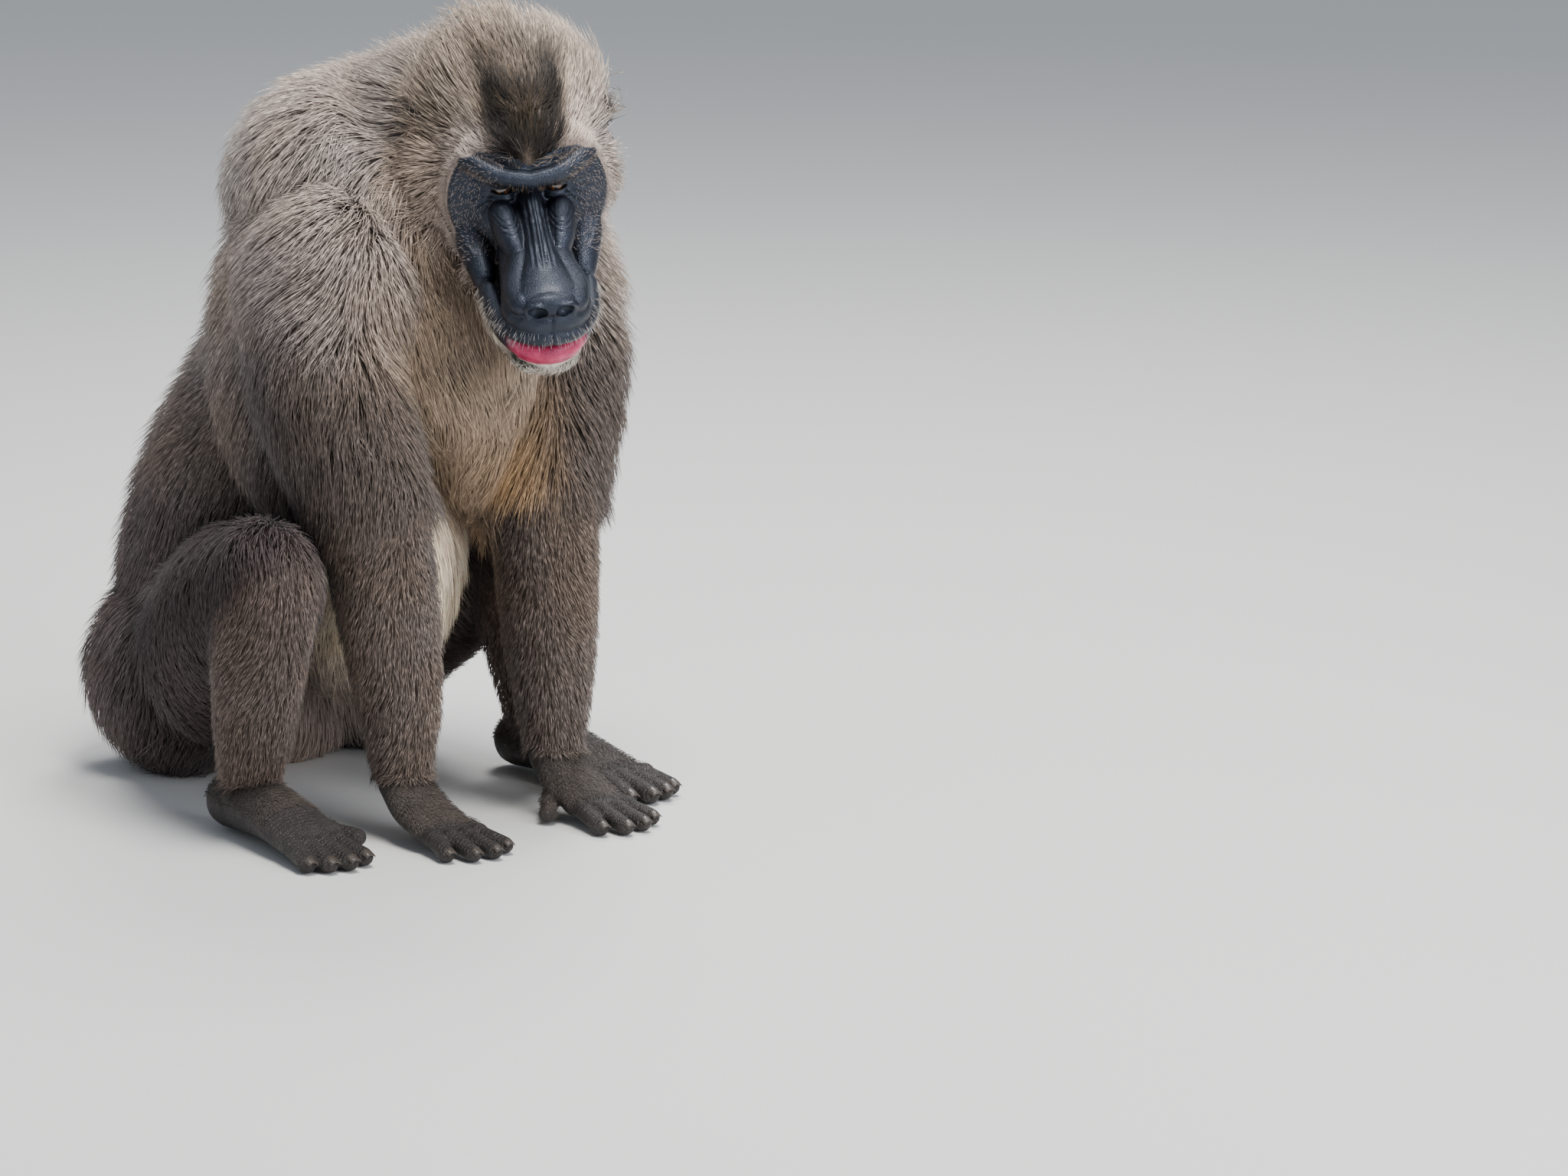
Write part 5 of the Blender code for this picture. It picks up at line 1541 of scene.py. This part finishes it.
def make_bristles(name, roots, lies, length, radius, droop, colour, bake, finish, chance):
    """Stiff hairs as one object, a little different in length and lie."""
    hairs, strands = [], []
    for root, lie in zip(roots, lies):
        way = (Vector(lie) + Vector(chance.normal(size=3) * 0.16)).normalized()
        own_length = length * chance.uniform(0.6, 1.25)
        own_radius = radius * chance.uniform(0.7, 1.2)
        hairs.append(bristle_points(Vector(root), way, own_length, own_radius, droop))
        strands.append(chance.random())
    count, each = len(hairs), len(hairs[0])
    faces = [(a, c, b) for ring in (0, 3) for a, b, c in ring_sides(ring)]
    faces += [(6, 7, 9), (7, 8, 9), (8, 6, 9), (0, 2, 1)]
    faces = (np.array(faces)[None] + (np.arange(count) * each)[:, None, None]).reshape(-1, 3)
    mesh = mesh_of(name, np.array([[p[:] for p in hair] for hair in hairs]).reshape(-1, 3), faces)
    along = np.array([share for share, _ in BRISTLE_STATIONS for _ in range(3)] + [1.0])
    around = np.array((0, 0.5, 1.0) * 3 + (0.5,))
    tint = np.tile(np.array(colour), (count, 1))
    band = np.zeros((count * each, 3))
    return dressed(mesh, faces, along, around, np.array(strands), tint, band, bake, finish)


def make_whiskers(f, finish):
    """White bristles of the upper lip and golden ones under the brow."""
    chance = np.random.default_rng(SEED + 1)
    turn = np.array(head_matrix().to_3x3())
    hx, _, hz = f.in_head.T
    _, back, up = (f.normals @ turn).T
    lip = f.on["head"] & (f.upper_lip < UPPER_LIP_RADIUS * 1.12) & (back < 0.25) & (hz > -0.090) & (hz < -0.070)
    brow_gap = np.minimum(*(gap_to_path(f.in_head, mirrored(BROW, side)) for side in (1, -1)))
    brow = f.on["head"] & (brow_gap < BROW_RADIUS * 1.1) & (back < -0.2) & (up < -0.15) & (up > -0.75)
    found = []
    for name, mask, count, length, radius, aim, colour in (
        ("whiskers_lip", lip, 420, 0.0052, 0.00014, (0, -0.45, -0.9), paint(206, 200, 192)),
        ("bristles_brow", brow, 200, 0.0034, 0.00012, (0, -0.8, -0.45), paint(112, 92, 68)),
    ):
        members = np.nonzero(mask)[0]
        picks = members[chance.integers(0, len(members), count)]
        spread = np.column_stack((hx[picks] * 12, np.zeros(count), np.zeros(count)))
        lies = (np.array(aim) + spread) @ turn.T + f.normals[picks] * 0.5
        bake = unwrap(f.points[picks], f.in_head[picks], np.full(count, CODE["bare"]), np.zeros(count))
        values = (length, radius, BRISTLE_DROOP, colour, bake, finish, chance)
        found.append(make_bristles(name, f.points[picks], lies, *values))
    return found


# Putting it together


def clothe_skin(skin, f, finishes):
    """Gives each face of the skin the finish of its place, and the points their values."""
    mesh = skin.data
    starts = read_values(mesh.polygons, "loop_start", 1, np.int32)
    first = read_values(mesh.loops, "vertex_index", 1, np.int32)[starts]
    mesh.materials.clear()
    for name in ("under_coat", "face", "digit"):
        mesh.materials.append(finishes[name])
    bare = f.soft_bare[first] > 0.5
    on_head = f.on["head"][first] & ~is_region(f, "ear")[first]
    kind = np.where(bare & on_head, 1, np.where(bare, 2, 0))
    kind[f.lip[first] > 0.02] = 1
    mesh.polygons.foreach_set("material_index", kind.astype(np.int32))
    write_attribute(mesh, "tint", "FLOAT_COLOR", f.tint)
    for name, values in (("lip", f.lip), ("soft_bare", f.soft_bare), ("headed", f.on["head"].astype(float))):
        write_attribute(mesh, name, "FLOAT", values)
    mesh.shade_smooth()
    mesh.update()


def thin_hidden_skin(skin):
    """Fewer faces on the head where the coat hides the skin."""
    bare, headed = (read_values(skin.data.attributes[name].data, "value") for name in ("soft_bare", "headed"))
    group = skin.vertex_groups.new(name="hidden")
    group.add(np.nonzero((bare < 0.05) & (headed > 0.5))[0].tolist(), 1.0, "REPLACE")
    thin = skin.modifiers.new("Thin", "DECIMATE")
    thin.ratio = HIDDEN_SHARE
    thin.vertex_group = "hidden"
    apply_modifiers(skin)
    skin.vertex_groups.clear()


def make_studio():
    """A plain pale floor and an even sky."""
    bm = bmesh.new()
    bmesh.ops.create_grid(bm, x_segments=2, y_segments=2, size=40)
    finish = new_finish("studio_floor", Base_Color=FLOOR_TINT, Roughness=0.85)[0]
    as_object("studio_floor", bm, finish)
    world = bpy.data.worlds.new("studio")
    bpy.context.scene.world = world
    world.use_nodes = True
    sky = world.node_tree.nodes["Background"].inputs
    sky[0].default_value, sky[1].default_value = SKY_TINT, SKY_STRENGTH


def add_light(name, place, size, power, colour):
    light = bpy.data.lights.new(name, "AREA")
    light.shape = "DISK"
    light.size = size
    light.energy = power
    light.color = colour
    obj = linked(name, light)
    obj.location = place
    obj.rotation_euler = (place - LIT_MIDDLE).to_track_quat("Z", "Y").to_euler()


def make_camera(shift):
    """The photograph's view, and the lights placed round it."""
    flat = math.cos(ELEVATION)
    back = Vector((math.sin(AZIMUTH) * flat, -math.cos(AZIMUTH) * flat, math.sin(ELEVATION)))
    right = Vector((math.cos(AZIMUTH), math.sin(AZIMUTH), 0))
    up = back.cross(right)
    aim = right * AIM_RIGHT + up * AIM_UP + shift
    camera = bpy.data.cameras.new("camera")
    camera.sensor_width = SENSOR
    camera.lens = LENS
    obj = linked("camera", camera)
    turn = Matrix((right, up, back)).transposed().to_4x4()
    obj.matrix_world = Matrix.Translation(aim + back * DISTANCE) @ turn
    bpy.context.scene.camera = obj
    level = Vector((back.x, back.y, 0)).normalized()
    for name, near, aside, height, size, power, colour in LIGHTS:
        place = LIT_MIDDLE + level * near + right * aside + Vector((0, 0, height))
        add_light(name, place, size, power, colour)


def main():
    boxes = [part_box(name) for name in ("eye_left", "eye_right")]
    centres = [(Vector(low) + Vector(high)) / 2 for low, high in boxes]
    shift = (centres[0] + centres[1]) / 2 - EYES_MIDDLE
    shift.z = 0

    marks = [bpy.data.materials.new(name) for name in MARKS]
    agouti, grain = agouti_group(), grain_group()
    finishes = {
        "coat": hair_finish("coat_agouti", agouti, 1.12),
        "chin": hair_finish("coat_pale", agouti, 1.0),
        "under_coat": under_coat_finish(agouti),
        "face": face_finish(grain),
        "digit": digit_finish(grain),
        "nail": nail_finish(),
        "eye": eye_finish(),
    }
    skin = make_skin(marks)
    f = read_fields(skin)
    tree = BVHTree.FromPolygons(f.points.tolist(), f.triangles.tolist(), all_triangles=True)
    hair = make_coat(f, tree, finishes)
    whiskers = make_whiskers(f, finishes["chin"])
    clothe_skin(skin, f, finishes)
    thin_hidden_skin(skin)
    for mark in marks:
        bpy.data.materials.remove(mark)
    eyes = [make_eye(side, finishes["eye"]) for side in (1, -1)]
    nails = make_nails(finishes["nail"])

    for piece in (skin, nails, *hair, *whiskers, *eyes):
        piece.data.transform(Matrix.Translation(shift))
        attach(piece, "root")
    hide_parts(*(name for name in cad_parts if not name.startswith("eye_")))
    for eye, name in zip(eyes, ("eye_left", "eye_right")):
        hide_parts(name)
    make_camera(shift)
    make_studio()


main()
